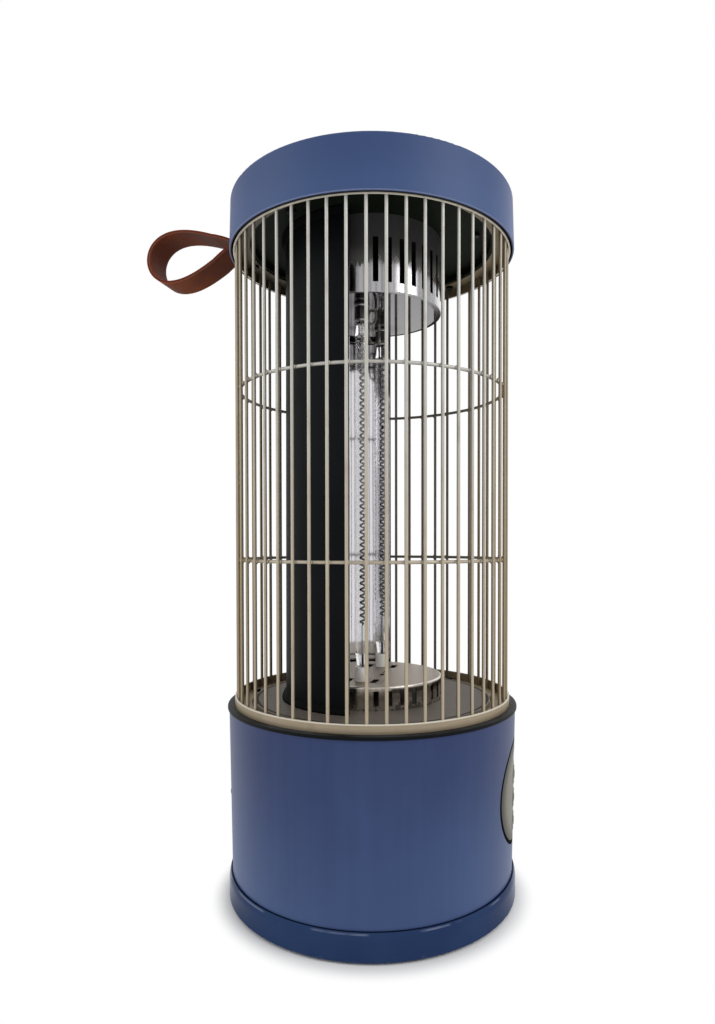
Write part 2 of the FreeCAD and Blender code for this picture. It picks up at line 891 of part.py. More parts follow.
def biarc(start, start_tangent, end, end_tangent):
    """Two arcs that join two points with the given directions at both."""
    span = end - start
    both = start_tangent + end_tangent
    spread = 2 * (1 - start_tangent.dot(end_tangent))
    reach = (math.sqrt(span.dot(both) ** 2 + spread * span.dot(span)) - span.dot(both)) / spread
    joint = (start + end + (start_tangent - end_tangent) * reach) / 2
    last = arc_from_tangent(end, end_tangent * -1, joint)
    return [arc_from_tangent(start, start_tangent, joint), last]


def coil_point(turn):
    angle = 2 * math.pi * turn
    radius = coil_centre_r()
    return vec(radius * math.cos(angle), radius * math.sin(angle), coil_bottom + coil_pitch * turn)


def coil_tangent(turn):
    angle = 2 * math.pi * turn
    slope = coil_slope()
    return vec(-math.sin(angle) * math.cos(slope), math.cos(angle) * math.cos(slope), math.sin(slope))


def coil_path():
    """Straight tail, bend, helix in half-turn biarcs, bend, and straight tail."""
    slope = coil_slope()
    offset = tail_offset()
    drop = coil_tail_bend * math.cos(slope)
    start = coil_point(0)
    end = coil_point(coil_turns)
    low_bend = vec(offset.x, offset.y, start.z - drop)
    high_bend = vec(offset.x, -offset.y, end.z + drop)
    edges = [Part.makeLine(vec(offset.x, offset.y, tube_bottom), low_bend)]
    edges.append(arc_from_tangent(low_bend, AXIS_Z, start))
    for half in range(2 * coil_turns):
        edges += biarc(coil_point(half / 2), coil_tangent(half / 2),
                       coil_point(half / 2 + 0.5), coil_tangent(half / 2 + 0.5))
    edges.append(arc_from_tangent(end, coil_tangent(coil_turns), high_bend))
    edges.append(Part.makeLine(high_bend, vec(offset.x, -offset.y, tube_top)))
    return Part.Wire(Part.sortEdges(edges)[0])


def least_self_gap(path):
    """Least distance between the coil's surface and itself, on points along its path."""
    spacing = coil_wire_d / 2
    points = path.discretize(Distance=spacing)
    apart = int(math.pi * coil_wire_d / spacing) + 1
    reach = int(2 * math.pi * coil_d / spacing)
    least = coil_pitch
    for index, point in enumerate(points):
        for other in points[index + apart:index + reach]:
            least = min(least, point.distanceToPoint(other) - coil_wire_d)
    return least


def make_heating_coil(x, path):
    offset = tail_offset()
    section = Part.Wire(Part.makeCircle(coil_wire_d / 2, vec(offset.x, offset.y, tube_bottom), AXIS_Z))
    coil = path.makePipeShell([section], True, False)
    coil.translate(vec(x, 0, 0))
    return coil


# Controls

def button_flange_y(x, z):
    """Where a button's flange stands, just behind the curved plate."""
    plate_r = drum_r_at(z - button_r - button_flange) - panel_sheet
    reach = abs(x) + button_r + button_flange
    return -math.sqrt(plate_r ** 2 - reach ** 2) + fit_gap


def button_places():
    """The buttons stand in a column below the lens."""
    middle = panel_z - button_drop
    return {
        "power_button": (0.0, middle + button_pitch),
        "heat_button": (0.0, middle),
        "timer_button": (0.0, middle - button_pitch),
    }


def board_face():
    """Front face of the control board."""
    return -drum_r_at(panel_z) + board_depth


def make_panel_bezel():
    collar = drum_skin(0, -bezel_depth).common(panel_plug(panel_r))
    collar = collar.cut(panel_plug(panel_r - panel_outline))
    flange_face = -drum_sheet - seat_gap
    flange = drum_skin(flange_face, flange_face - bezel_flange_sheet)
    flange = flange.common(panel_plug(panel_r + bezel_flange))
    flange = flange.cut(panel_plug(panel_r - panel_outline - bezel_flange))
    collar = collar.cut(drum_skin(flange_face - bezel_flange_sheet, -2 * bezel_depth))
    ledge = flange_face - (panel_sheet - drum_sheet)
    bezel = fuse(collar, flange)
    return bezel.cut(drum_skin(0, ledge).common(panel_plug(panel_r - panel_outline)))


def lens_outline(clearance):
    """Rounded bar through the panel, grown by a clearance."""
    half_height = lens_height / 2 + clearance
    half_width = lens_width / 2 - lens_height / 2
    height = panel_z + lens_rise
    ends = [panel_plug(half_height, x, height) for x in (-half_width, half_width)]
    bar = box((-half_width, -drum_top_r - trim_shelf, height - half_height),
              (half_width, -drum_top_r / 2, height + half_height))
    return fuse(bar, *ends)


def make_panel_plate():
    plate = drum_skin(0, -panel_sheet).common(panel_plug(panel_r - panel_outline - seat_gap))
    plate = plate.cut([panel_plug(button_r + fit_gap, x, z) for x, z in button_places().values()])
    plate = plate.cut(lens_outline(seat_gap))
    posts = []
    half_width = board_width / 2 - board_post_inset
    half_height = board_height / 2 - board_post_inset
    for x in (-half_width, half_width):
        for z in (panel_z - half_height, panel_z + half_height):
            post = along_y(board_post_r, -drum_top_r, board_face(), x, z)
            posts.append(post.common(drum_skin(-panel_sheet / 2, -drum_bottom_r / 2)))
    return fuse(plate, *posts)


def make_indicator_lens():
    return drum_skin(0, -panel_sheet).common(lens_outline(0))


def make_button(x, z):
    flange_front = button_flange_y(x, z)
    flange_back = flange_front + button_flange_sheet
    stem_end = board_face() - switch_height - button_travel - fit_gap
    cap = along_y(button_r, -drum_top_r - trim_shelf, flange_front, x, z)
    cap = cap.common(drum_skin(button_proud, -drum_bottom_r / 2))
    flange = along_y(button_r + button_flange, flange_front, flange_back, x, z)
    stem = along_y(button_stem_r, flange_back, stem_end, x, z)
    return fuse(cap, flange, stem)


def make_control_board():
    face = board_face()
    return box((-board_width / 2, face, panel_z - board_height / 2),
               (board_width / 2, face + board_sheet, panel_z + board_height / 2))


def make_board_switches():
    face = board_face()
    half = switch_side / 2
    return Part.makeCompound([box((x - half, face - switch_height, z - half), (x + half, face, z + half))
                              for x, z in button_places().values()])


# Mains entry and safety switches

def make_cable_gland():
    wall = drum_r_at(gland_z + gland_flange_r) + seat_gap
    flange_end = wall + gland_flange_sheet
    flange = along_y(gland_flange_r, wall, flange_end, 0, gland_z)
    barrel = along_y(gland_barrel_r, flange_end, flange_end + gland_barrel_length, 0, gland_z)
    end_y = flange_end + gland_barrel_length
    outer_end = [edge for edge in barrel.Edges if edge.BoundBox.YMin > end_y - seat_gap]
    barrel = barrel.makeChamfer(gland_barrel_r / 5, outer_end)
    thread = along_y(gland_thread_r, wall - gland_thread_length, wall, 0, gland_z)
    bore = along_y(gland_bore_r, wall - gland_thread_length, end_y, 0, gland_z)
    return fuse(flange, barrel, thread).cut(bore)


def make_gland_nut():
    corner_r = gland_nut_width / math.sqrt(3)
    inner_wall = drum_r_at(gland_z - corner_r) - drum_sheet
    face = math.sqrt(inner_wall ** 2 - corner_r ** 2) - seat_gap
    corners = []
    for index in range(7):
        angle = math.radians(60.0 * index)
        across = corner_r * math.cos(angle)
        corners.append(vec(across, face - gland_nut_sheet, gland_z + corner_r * math.sin(angle)))
    nut = Part.Face(Part.makePolygon(corners)).extrude(vec(0, gland_nut_sheet, 0))
    return nut.cut(along_y(gland_thread_r + seat_gap, face - gland_nut_sheet, face, 0, gland_z))


def make_terminal_block():
    block = box((-block_width / 2, block_back - block_depth / 2, floor_top),
                (block_width / 2, block_back + block_depth / 2, floor_top + block_height))
    step = block_width / block_ways
    top = floor_top + block_height
    places = [vec((index - (block_ways - 1) / 2) * step, block_back, 0) for index in range(block_ways)]
    return block.cut([upright(block_well_r, top - block_well_depth, top, place) for place in places])


def make_thermal_cutout():
    return upright(cutout_r, deck_under - cutout_height, deck_under, vec(0, cutout_back, 0))


def plunger_flange_bottom():
    """Lower face of the plunger's flange while the heater stands on it."""
    return floor_top + plunger_travel + fit_gap


def plunger_flange_top():
    return plunger_flange_bottom() + plunger_flange_sheet


def tip_switch_bottom():
    return plunger_flange_top() + spring_length


def make_tip_plunger():
    place = vec(0, -plunger_front, 0)
    foot = upright(plunger_r, 0, plunger_flange_bottom(), place)
    flange = upright(plunger_flange_r, plunger_flange_bottom(), plunger_flange_top(), place)
    stem = upright(plunger_stem_r, plunger_flange_top(), tip_switch_bottom() + tip_switch_height / 2, place)
    return fuse(foot, flange, stem)


def make_plunger_spring():
    place = vec(0, -plunger_front, 0)
    bottom = plunger_flange_top()
    top = tip_switch_bottom()
    return upright(spring_r, bottom, top, place).cut(upright(spring_r - spring_wall, bottom, top, place))


def make_tip_switch():
    """Switch block on two legs that straddle the plunger."""
    low = tip_switch_bottom()
    half_width = tip_switch_width / 2
    front = -plunger_front - tip_switch_depth / 2
    back = -plunger_front + tip_switch_depth / 2
    block = box((-half_width, front, low), (half_width, back, low + tip_switch_height))
    left = box((-half_width, front, floor_top), (-half_width + tip_leg_width, back, low))
    right = box((half_width - tip_leg_width, front, floor_top), (half_width, back, low))
    bore_top = low + tip_switch_height / 2 + fit_gap
    bore = upright(plunger_stem_r + fit_gap, low, bore_top, vec(0, -plunger_front, 0))
    return fuse(block, left, right).cut(bore)


def make_nodes():
    """Every sub-part of the heater, by name."""
    path = coil_path()
    print("coil turns", coil_turns, "least gap of the coil to itself %.2f mm" % least_self_gap(path))
    left, right = lamp_xs()
    nodes = {
        "base_pan": make_base_pan(),
        "rubber_feet": make_rubber_feet(),
        "base_screws": make_base_screws(),
        "drum_shell": make_drum_shell(),
        "trim_ring": make_trim_ring(),
        "deck_plate": make_deck_plate(),
        "cage_wires": make_cage_wires(),
        "cage_lower_hoop": make_hoop(lower_hoop_height),
        "cage_upper_hoop": make_hoop(upper_hoop_height),
        "cage_lower_ring": make_lower_cage_ring(),
        "cage_upper_ring": make_upper_cage_ring(),
        "cage_screws": make_cage_screws(),
        "top_cap": make_top_cap(),
        "ceiling_plate": make_ceiling_plate(),
        "cap_screws": make_cap_screws(),
        "strap_tail": make_strap_tail(),
        "strap_clamp": make_strap_clamp(),
        "strap_screws": make_strap_screws(),
        "carry_strap": make_carry_strap(),
        "lamp_deck": make_lamp_deck(),
        "lamp_cup": make_lamp_cup(),
        "reflector_mirror": make_reflector_mirror(),
        "reflector_shell": make_reflector_shell(),
        "shell_flanges": make_shell_flanges(),
        "lower_lamp_bracket": make_lower_lamp_bracket(),
        "upper_lamp_bracket": make_upper_lamp_bracket(),
        "lower_ceramics": make_lower_ceramics(),
        "upper_ceramics": make_upper_ceramics(),
        "quartz_tube_left": make_quartz_tube(left),
        "quartz_tube_right": make_quartz_tube(right),
        "heating_coil_left": make_heating_coil(left, path),
        "heating_coil_right": make_heating_coil(right, path),
        "panel_bezel": make_panel_bezel(),
        "panel_plate": make_panel_plate(),
        "indicator_lens": make_indicator_lens(),
        "control_board": make_control_board(),
        "board_switches": make_board_switches(),
        "cable_gland": make_cable_gland(),
        "gland_nut": make_gland_nut(),
        "terminal_block": make_terminal_block(),
        "thermal_cutout": make_thermal_cutout(),
        "tip_plunger": make_tip_plunger(),
        "plunger_spring": make_plunger_spring(),
        "tip_switch": make_tip_switch(),
    }
    for name, (x, z) in button_places().items():
        nodes[name] = make_button(x, z)
    return nodes


os.makedirs("parts", exist_ok=True)
for node, shape in make_nodes().items():
    shape.exportStep("parts/%s.step" % node)
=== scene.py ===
"""Looks of a lantern-shaped radiant heater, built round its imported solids, in metres."""
import json
import math

import bpy
import numpy as np
from mathutils import Matrix, Vector

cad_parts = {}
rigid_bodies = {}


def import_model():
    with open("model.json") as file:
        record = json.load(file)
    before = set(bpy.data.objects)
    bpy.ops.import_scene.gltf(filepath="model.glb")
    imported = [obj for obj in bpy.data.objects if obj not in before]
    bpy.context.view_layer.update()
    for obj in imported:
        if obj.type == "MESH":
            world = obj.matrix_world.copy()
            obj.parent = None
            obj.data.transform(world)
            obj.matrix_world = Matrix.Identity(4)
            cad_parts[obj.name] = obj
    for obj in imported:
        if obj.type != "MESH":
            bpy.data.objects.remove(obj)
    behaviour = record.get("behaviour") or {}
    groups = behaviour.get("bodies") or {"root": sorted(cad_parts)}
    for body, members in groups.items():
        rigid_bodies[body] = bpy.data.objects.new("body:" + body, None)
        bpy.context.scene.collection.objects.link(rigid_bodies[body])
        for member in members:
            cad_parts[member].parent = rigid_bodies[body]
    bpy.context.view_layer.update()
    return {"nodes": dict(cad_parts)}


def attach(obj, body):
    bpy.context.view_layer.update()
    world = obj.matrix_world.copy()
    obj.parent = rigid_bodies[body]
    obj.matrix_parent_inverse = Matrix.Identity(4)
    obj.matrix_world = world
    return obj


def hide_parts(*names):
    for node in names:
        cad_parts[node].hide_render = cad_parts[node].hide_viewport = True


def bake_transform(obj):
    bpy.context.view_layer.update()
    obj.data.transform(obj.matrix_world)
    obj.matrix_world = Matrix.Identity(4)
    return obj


for spare in list(bpy.data.objects):
    bpy.data.objects.remove(spare)
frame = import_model()
nodes = frame["nodes"]

# Places and sizes of the solids, and of the pilot lamps behind the lens
STRAP_ROOT = Vector((0.0, 0.11743, 0.5348))
STRAP_WIDTH = 0.029
STRAP_THICK = 0.0022
STRAP_REACH = 0.0823
STRAP_DROOP = math.radians(6.5)
LAMP_X = 0.033
LAMP_HOUSING_R = 0.057
LAMP_DECK_TOP = 0.1717
LAMP_CUP_BOTTOM = 0.4657
TUBE_BOTTOM = 0.1758
TUBE_TOP = 0.4576
WIRE_COUNT = 51
WIRE_R = 0.00125
GUARD_BOTTOM = 0.1513
GUARD_BOTTOM_R = 0.1086
GUARD_FLARE = 0.0013 / 0.3672
HOOP_HEIGHTS = (0.2658, 0.4009)
LOWER_BAND_TOP = 0.1579
UPPER_BAND_BOTTOM = 0.5111
CAP_BOTTOM = 0.5119
CAP_BOTTOM_R = 0.1154
CAP_SLOPE = 0.001 / 0.0402
CAP_UNDER = 0.5501
PAN_TOP = 0.0213
DRUM_BOTTOM = 0.0198
DRUM_BOTTOM_R = 0.113
DRUM_SLOPE = 0.0026 / 0.1291
DECK_R = 0.0959
PANEL_Z = 0.08645
LENS_RISE = 0.026
PILOT_PITCH = 0.0036
BUTTON_PROUD = 0.0004
BUTTON_HEIGHTS = {"power": PANEL_Z + 0.011, "heat": PANEL_Z - 0.007, "timer": PANEL_Z - 0.025}

# Carry strap: its curve, its section, its cut edge and its bend at the hinge
STRAP_TAIL = 0.0185
STRAP_SWELL = 0.0287
STRAP_PINCH = 1.3
STRAP_DROOP_LENGTH = 0.02
STRAP_DRAWN_POINTS = 721
STRAP_ROWS = 260
STRAP_ROUND = 0.0007
STRAP_FLAT_STEPS = 14
STRAP_CORNER_STEPS = 5
STRAP_CUT = 0.00075
STRAP_CUT_FADE = 0.0006

# Heating coils and their straight ends inside the tubes
COIL_R = 0.00185
COIL_WIRE_R = 0.00085
COIL_SET = 0.0010
COIL_BOTTOM = 0.2162
COIL_PITCH = 0.0050
COIL_TURNS = 44
COIL_STEPS = 20
COIL_SIDES = 8
COIL_END_R = 0.0004
COIL_END_SHIFT = 0.6
COIL_END_POINTS = 6
COIL_END_GAP = 0.002
TUBE_END_GAP = 0.004

# Leads and bands at the upper lamp ends. The fan gives, for each lead of a lamp, how far it turns aside and
# the height that it dips to. A point of the band's section is its radius and its height.
LEAD_R = 0.0011
LEAD_SIDES = 8
LEAD_FAN = ((-0.50, 0.4480), (-0.10, 0.4440), (0.50, 0.4470))
LEAD_INWARD = 0.84
LEAD_ROOT_R = 0.0045
LEAD_ROOT_Z = 0.4545
LEAD_DIP_REACH = 0.009
LEAD_RISE_REACH = 0.014
LEAD_RISE_Z = 0.4560
LEAD_END_REACH = 0.0115
LEAD_SUNK = 0.0006
BAND_SECTION = ((0.0050, -0.0011), (0.0056, -0.0011), (0.0057, 0.0), (0.0056, 0.0011), (0.0050, 0.0011))
BAND_STEPS = 28
BAND_HEIGHTS = (0.4522, 0.4638)

# Weld beads on the ring wires, and the raised marks on the buttons
WELD_ROWS = 7
WELD_COLUMNS = 10
WELD_DEPTH = 0.0011
WELD_WIDTH = 0.0021
WELD_HEIGHT = 0.0019
WELD_UNEVEN = 0.18
WELD_STRIDE = 7.1
MARK_BEAD_R = 0.0003
MARK_SIDES = 6

# Ranges for a finish: one that no point of the heater reaches, and one that every point is past
NOWHERE = (0.8, 0.9)
EVERYWHERE = (-1.0, -0.9)

# The guard is browner on two flanks, far out along FLANK_Y y - FLANK_X x
FLANK_X = 0.25
FLANK_Y = 0.97

# Studio, and the camera fitted to the photograph
WHITE = (1.0, 1.0, 1.0, 1.0)
SKY_COLOUR = (0.98, 0.99, 1.0, 1.0)
SKY_STRENGTH = 0.55
FLOOR_COLOUR = (0.935, 0.93, 0.92, 1.0)
FLOOR_REACH = 30.0
SHADOW_LEFT = 0.0039
SHADOW_FRONT = 0.0010
SHADOW_FADE = (0.1110, 0.1305)
LIGHT_AIM = Vector((0.0, 0.0, 0.3))
SOFTBOXES = {
    "key": ((-0.5, -1.65, 1.5), (1.2, 1.2), 16.0),
    "fill": ((-0.9, 1.4, 0.9), (1.0, 1.4), 7.0),
    "rim": ((1.5, -0.6, 1.2), (1.0, 1.4), 3.5),
}
CAMERA_AZIMUTH = math.radians(-75.7)
CAMERA_DISTANCE = 0.5674
CAMERA_HEIGHT = 0.2785
CAMERA_SENSOR = 36.0
CAMERA_LENS = 24.12
CAMERA_SHIFT = (-0.0142, 0.0309)
CAMERA_ROLL = -0.0012
CAMERA_CLIP = 0.01


# Meshes from arrays

def piece(name, points, faces, finish, smooth=True):
    """Mesh object at the origin from an array of points and a list of index arrays."""
    mesh = bpy.data.meshes.new(name)
    mesh.from_pydata(points.reshape(-1, 3).tolist(), [], faces)
    mesh.polygons.foreach_set("use_smooth", np.full(len(mesh.polygons), smooth))
    mesh.materials.append(finish)
    mesh.update()
    made = bpy.data.objects.new(name, mesh)
    bpy.context.scene.collection.objects.link(made)
    return made


def quads(rows, columns, ring_rows=False, ring_columns=False, start=0):
    """Faces of a grid of rows by columns points; a ring joins the last line to the first."""
    index = np.arange(rows * columns).reshape(rows, columns) + start
    if ring_rows:
        index = np.vstack([index, index[:1]])
    if ring_columns:
        index = np.hstack([index, index[:, :1]])
    corners = [index[:-1, :-1], index[:-1, 1:], index[1:, 1:], index[1:, :-1]]
    return np.stack(corners, axis=-1).reshape(-1, 4).tolist()


def ends(rows, columns, start=0):
    """Flat caps for a tube of rows rings, each of columns points."""
    first = np.arange(columns) + start
    last = first + (rows - 1) * columns
    return [first.tolist(), last[::-1].tolist()]


def unit(vectors):
    """The vectors brought to length 1."""
    return vectors / np.linalg.norm(vectors, axis=-1, keepdims=True)


def tube(path, radius, sides):
    """Circle carried along a path: path + radius (cos a * side + sin a * up), where side and up
    are square to the path's direction and up leans to the reference least in line with it. The radius
    is one length, or one for each point of the path."""
    ahead = unit(np.gradient(path, axis=0))
    reference = np.array((0.0, 0.0, 1.0)) if abs(ahead[:, 2]).max() < 0.9 else np.array((0.0, 1.0, 0.0))
    side = unit(np.cross(ahead, reference))
    up = np.cross(side, ahead)
    angle = np.linspace(0.0, 2 * np.pi, sides, endpoint=False)
    round_part = side[:, None] * np.cos(angle)[None, :, None] + up[:, None] * np.sin(angle)[None, :, None]
    return path[:, None] + np.reshape(radius, (-1, 1, 1)) * round_part


def tubes(lines, radius, sides):
    """A round tube along each line, closed at both ends: the points and faces of one mesh."""
    points, faces, start = [], [], 0
    for line in lines:
        rows = tube(line, radius, sides)
        grid = rows.shape[:2]
        points.append(rows.reshape(-1, 3))
        faces += quads(*grid, ring_columns=True, start=start) + ends(*grid, start=start)
        start += grid[0] * grid[1]
    return np.vstack(points), faces


def even(path, count):
    """The path resampled at equal steps of its length."""
    steps = np.linalg.norm(np.diff(path, axis=0), axis=1)
    length = np.concatenate([[0.0], np.cumsum(steps)])
    wanted = np.linspace(0.0, length[-1], count)
    return np.stack([np.interp(wanted, length, path[:, axis]) for axis in range(3)], axis=1)


# Materials from expressions

class Signal:
    """One output of a node; arithmetic on it adds Math nodes."""

    def __init__(self, maker, socket):
        self.maker = maker
        self.socket = socket

    def combine(self, operation, *values):
        return self.maker.node("Math", {"operation": operation}, dict(enumerate(values)))

    def __add__(self, other):
        return self.combine("ADD", self, other)

    def __sub__(self, other):
        return self.combine("SUBTRACT", self, other)

    def __rsub__(self, other):
        return self.combine("SUBTRACT", other, self)

    def __mul__(self, other):
        return self.combine("MULTIPLY", self, other)

    def __pow__(self, other):
        return self.combine("POWER", self, other)

    def __abs__(self):
        return self.combine("ABSOLUTE", self)

    __radd__ = __add__
    __rmul__ = __mul__

    def wave(self):
        return self.combine("SINE", self)

    def least(self, other):
        return self.combine("MINIMUM", self, other)

    def most(self, other):
        return self.combine("MAXIMUM", self, other)

    def rise(self, low, high):
        """0 below low, 1 above high and a smooth step between them; low may be above high."""
        settings = {"interpolation_type": "SMOOTHSTEP"}
        if low < high:
            return self.maker.node("MapRange", settings, {0: self, 1: low, 2: high})
        return 1 - self.maker.node("MapRange", settings, {0: self, 1: high, 2: low})


class NodeMaker:
    """The nodes of a material or a world under construction."""

    def __init__(self, owner, output):
        owner.use_nodes = True
        self.tree = owner.node_tree
        self.tree.nodes.clear()
        self.output = self.tree.nodes.new("ShaderNode" + output)

    def node(self, kind, settings=None, inputs=None, output=0):
        """Adds a node of that type, sets it, feeds its sockets and returns one output."""
        made = self.tree.nodes.new("ShaderNode" + kind)
        for name, value in (settings or {}).items():
            setattr(made, name, value)
        for key, value in (inputs or {}).items():
            if isinstance(value, Signal):
                self.tree.links.new(value.socket, made.inputs[key])
            else:
                made.inputs[key].default_value = value
        return Signal(self, made.outputs[output])

    def show(self, shader):
        """Puts the shader on the surface."""
        self.tree.links.new(shader.socket, self.output.inputs["Surface"])

    def backdrop_rays(self):
        """1 for the rays that show the backdrop: to the camera, through glass and in metal."""
        straight = self.node("LightPath", output="Is Camera Ray")
        through = self.node("LightPath", output="Is Transmission Ray")
        mirrored = self.node("LightPath", output="Is Glossy Ray")
        return (straight + through + mirrored).least(1.0)


class Finish(NodeMaker):
    """A material under construction, with its Object coordinates at hand."""

    def __init__(self, name):
        self.material = bpy.data.materials.new(name)
        super().__init__(self.material, "OutputMaterial")
        self.place = self.node("TexCoord", output="Object")
        self.x = self.node("SeparateXYZ", {}, {0: self.place}, 0)
        self.y = self.node("SeparateXYZ", {}, {0: self.place}, 1)
        self.z = self.node("SeparateXYZ", {}, {0: self.place}, 2)

    def attribute(self, name):
        """Value that the piece's mesh carries at each point."""
        return self.node("Attribute", {"attribute_name": name}, {}, "Fac")

    def noise(self, scale, detail=2.0, stretch=None):
        """Cloudy field of about 0.5 mean; stretch scales the coordinates on each axis first."""
        place = self.place
        if stretch:
            place = self.node("Mapping", {}, {"Vector": place, "Scale": stretch})
        return self.node("TexNoise", {}, {"Vector": place, "Scale": scale, "Detail": detail})

    def normal_z(self):
        """1 where the surface faces up, -1 where it faces down."""
        return self.node("SeparateXYZ", {}, {0: self.node("TexCoord", output="Normal")}, 2)

    def facing_out(self):
        """Cosine of the angle between the surface's normal and the way out from the heater's axis."""
        flat = self.node("VectorMath", {"operation": "MULTIPLY"}, {0: self.place, 1: (1.0, 1.0, 0.0)})
        out = self.node("VectorMath", {"operation": "NORMALIZE"}, {0: flat})
        normal = self.node("TexCoord", output="Normal")
        return self.node("VectorMath", {"operation": "DOT_PRODUCT"}, {0: normal, 1: out}, "Value")

    def cells(self, scale):
        """Distance to the nearest of many scattered points, which makes rounded cells."""
        return self.node("TexVoronoi", {}, {"Vector": self.place, "Scale": scale}, "Distance")

    def colour(self, mask, low, high):
        """Colour low where mask is 0 and high where it is 1."""
        return self.node("Mix", {"data_type": "RGBA"}, {0: mask, 6: low, 7: high}, 2)

    def bump(self, height, distance, strength=1.0):
        """Normal tilted by a height field."""
        return self.node("Bump", {}, {"Strength": strength, "Distance": distance, "Height": height})

    def surface(self, inputs):
        """Finishes the material with one Principled shader."""
        self.show(self.node("BsdfPrincipled", {}, inputs))
        return self.material


def linear(red, green, blue):
    """Colour given as sRGB levels from 0 to 255, as linear light."""
    levels = np.array((red, green, blue)) / 255.0
    light = np.where(levels <= 0.04045, levels / 12.92, ((levels + 0.055) / 1.055) ** 2.4)
    return (*light.tolist(), 1.0)


def drum_edges(f):
    """The drum's lowest edge, painted dark as shade in the pan's groove."""
    return [(f.z.rise(PAN_TOP + 0.0006, PAN_TOP), linear(10, 13, 26))]


def cap_edges(f):
    """Painted shade on what lies behind the cap's outer skin, darkening the gap over the guard, and a painted
    highlight as a pale line along its lower edge.
    """
    behind = (f.x ** 2 + f.y ** 2) ** 0.5 + (f.z - CAP_BOTTOM) * CAP_SLOPE - CAP_BOTTOM_R
    # Painted shade behind the outer skin, then a painted highlight along the lower edge.
    painted_shade_inside = behind.rise(-0.0007, -0.0011) * f.z.rise(CAP_UNDER + 0.0012, CAP_UNDER + 0.0004)
    painted_hem_highlight = f.z.rise(CAP_BOTTOM + 0.0010, CAP_BOTTOM + 0.0006) * behind.rise(-0.0007, -0.0004)
    return [(painted_shade_inside, linear(26, 31, 56)), (painted_hem_highlight * 0.8, linear(122, 134, 168))]


def satin_paint(name, light, dark, rough, painted_light_fade, painted_light_edges):
    """Baked paint: broad tone drift, faint upright streaks, specks and orange peel. Between the two heights
    given for the height term the colour is painted lighter towards the lower one, as painted shade above and
    painted light at the foot; the edge masks lay painted shade and highlight colours over it."""
    f = Finish(name)
    drift = f.noise(9.0, 3.0)
    streak = f.noise(1.0, 3.0, (110.0, 110.0, 2.0))
    speck = f.noise(900.0, 1.0).rise(0.74, 0.80)
    skin = f.noise(1500.0, 2.0)
    # The height term is painted shade towards the top and painted light towards the foot.
    tone = drift.rise(0.3, 0.7) * 0.25 + streak.rise(0.3, 0.7) * 0.10 + f.z.rise(*painted_light_fade) * 0.65
    base = f.colour(tone, dark, light)
    base = f.colour(speck * 0.2, base, linear(104, 120, 150))
    for mask, tint in painted_light_edges(f):
        base = f.colour(mask, base, tint)
    return f.surface({
        "Base Color": base,
        "Roughness": drift * 0.08 + streak * 0.05 + speck * 0.15 + rough,
        "Specular IOR Level": 0.28,
        "Normal": f.bump(skin, 0.00005, 0.3),
    })


def moulded_gloss(name, light, dark):
    """Glossy moulded ring: faint flow marks, hairline scuffs, a worn lower edge and a painted highlight of
    broken glints along the shoulder."""
    f = Finish(name)
    flow = f.noise(16.0, 3.0)
    hair = f.noise(1.0, 2.0, (60.0, 60.0, 900.0)).rise(0.62, 0.72)
    scuff = f.noise(240.0, 3.0).rise(0.60, 0.74) * f.z.rise(0.007, 0.001)
    # Painted highlight: pale glints along the shoulder, in the base colour.
    shoulder = abs(f.z - PAN_TOP + 0.0012).rise(0.0008, 0.0003) * f.facing_out().rise(0.2, 0.5)
    painted_glint = shoulder * f.noise(1.0, 3.0, (26.0, 26.0, 4.0)).rise(0.47, 0.58)
    base = f.colour(flow.rise(0.3, 0.7), dark, light)
    base = f.colour(scuff * 0.5, base, linear(80, 92, 124))
    return f.surface({
        "Base Color": f.colour(painted_glint * 0.6, base, linear(128, 136, 160)),
        "Roughness": flow * 0.08 + hair * 0.10 + scuff * 0.3 + 0.16,
        "Specular IOR Level": 0.04,
        "Normal": f.bump(flow + hair * 0.3, 0.00008, 0.4),
    })


def black_enamel(name, light, dark, rough, shine):
    """Stoved black enamel: soft drift, a fine skin and a little pale dust on what faces up."""
    f = Finish(name)
    drift = f.noise(13.0, 3.0)
    skin = f.noise(1700.0, 2.0)
    dust = f.noise(70.0, 4.0).rise(0.45, 0.75) * f.normal_z().rise(0.4, 0.9)
    base = f.colour(drift.rise(0.35, 0.65), dark, light)
    return f.surface({
        "Base Color": f.colour(dust * 0.25, base, linear(60, 60, 58)),
        "Roughness": drift * 0.10 + skin * 0.06 + dust * 0.1 + rough,
        "Specular IOR Level": shine,
        "Normal": f.bump(skin, 0.00004, 0.3),
    })


def plain_plastic(name, light, dark, rough, shine):
    """Moulded plastic with a fine spark-eroded grain."""
    f = Finish(name)
    grain = f.noise(3200.0, 2.0)
    drift = f.noise(30.0, 3.0)
    return f.surface({
        "Base Color": f.colour(drift.rise(0.35, 0.65), dark, light),
        "Roughness": grain * 0.14 + drift * 0.08 + rough,
        "Specular IOR Level": shine,
        "Normal": f.bump(grain, 0.00005, 0.3),
    })


def trim_moulding(name):
    """Black edging strip, painted lighter on what faces up, as light falling on its top."""
    f = Finish(name)
    grain = f.noise(3200.0, 2.0)
    # Painted light: the up-facing top is painted lighter.
    painted_top_light = f.normal_z().rise(0.5, 0.95) * f.noise(40.0, 3.0).rise(0.25, 0.65)
    return f.surface({
        "Base Color": f.colour(painted_top_light, linear(12, 14, 15), linear(50, 52, 55)),
        "Roughness": grain * 0.14 + painted_top_light * 0.06 + 0.42,
        "Specular IOR Level": 0.08,
        "Normal": f.bump(grain, 0.00005, 0.3),
    })


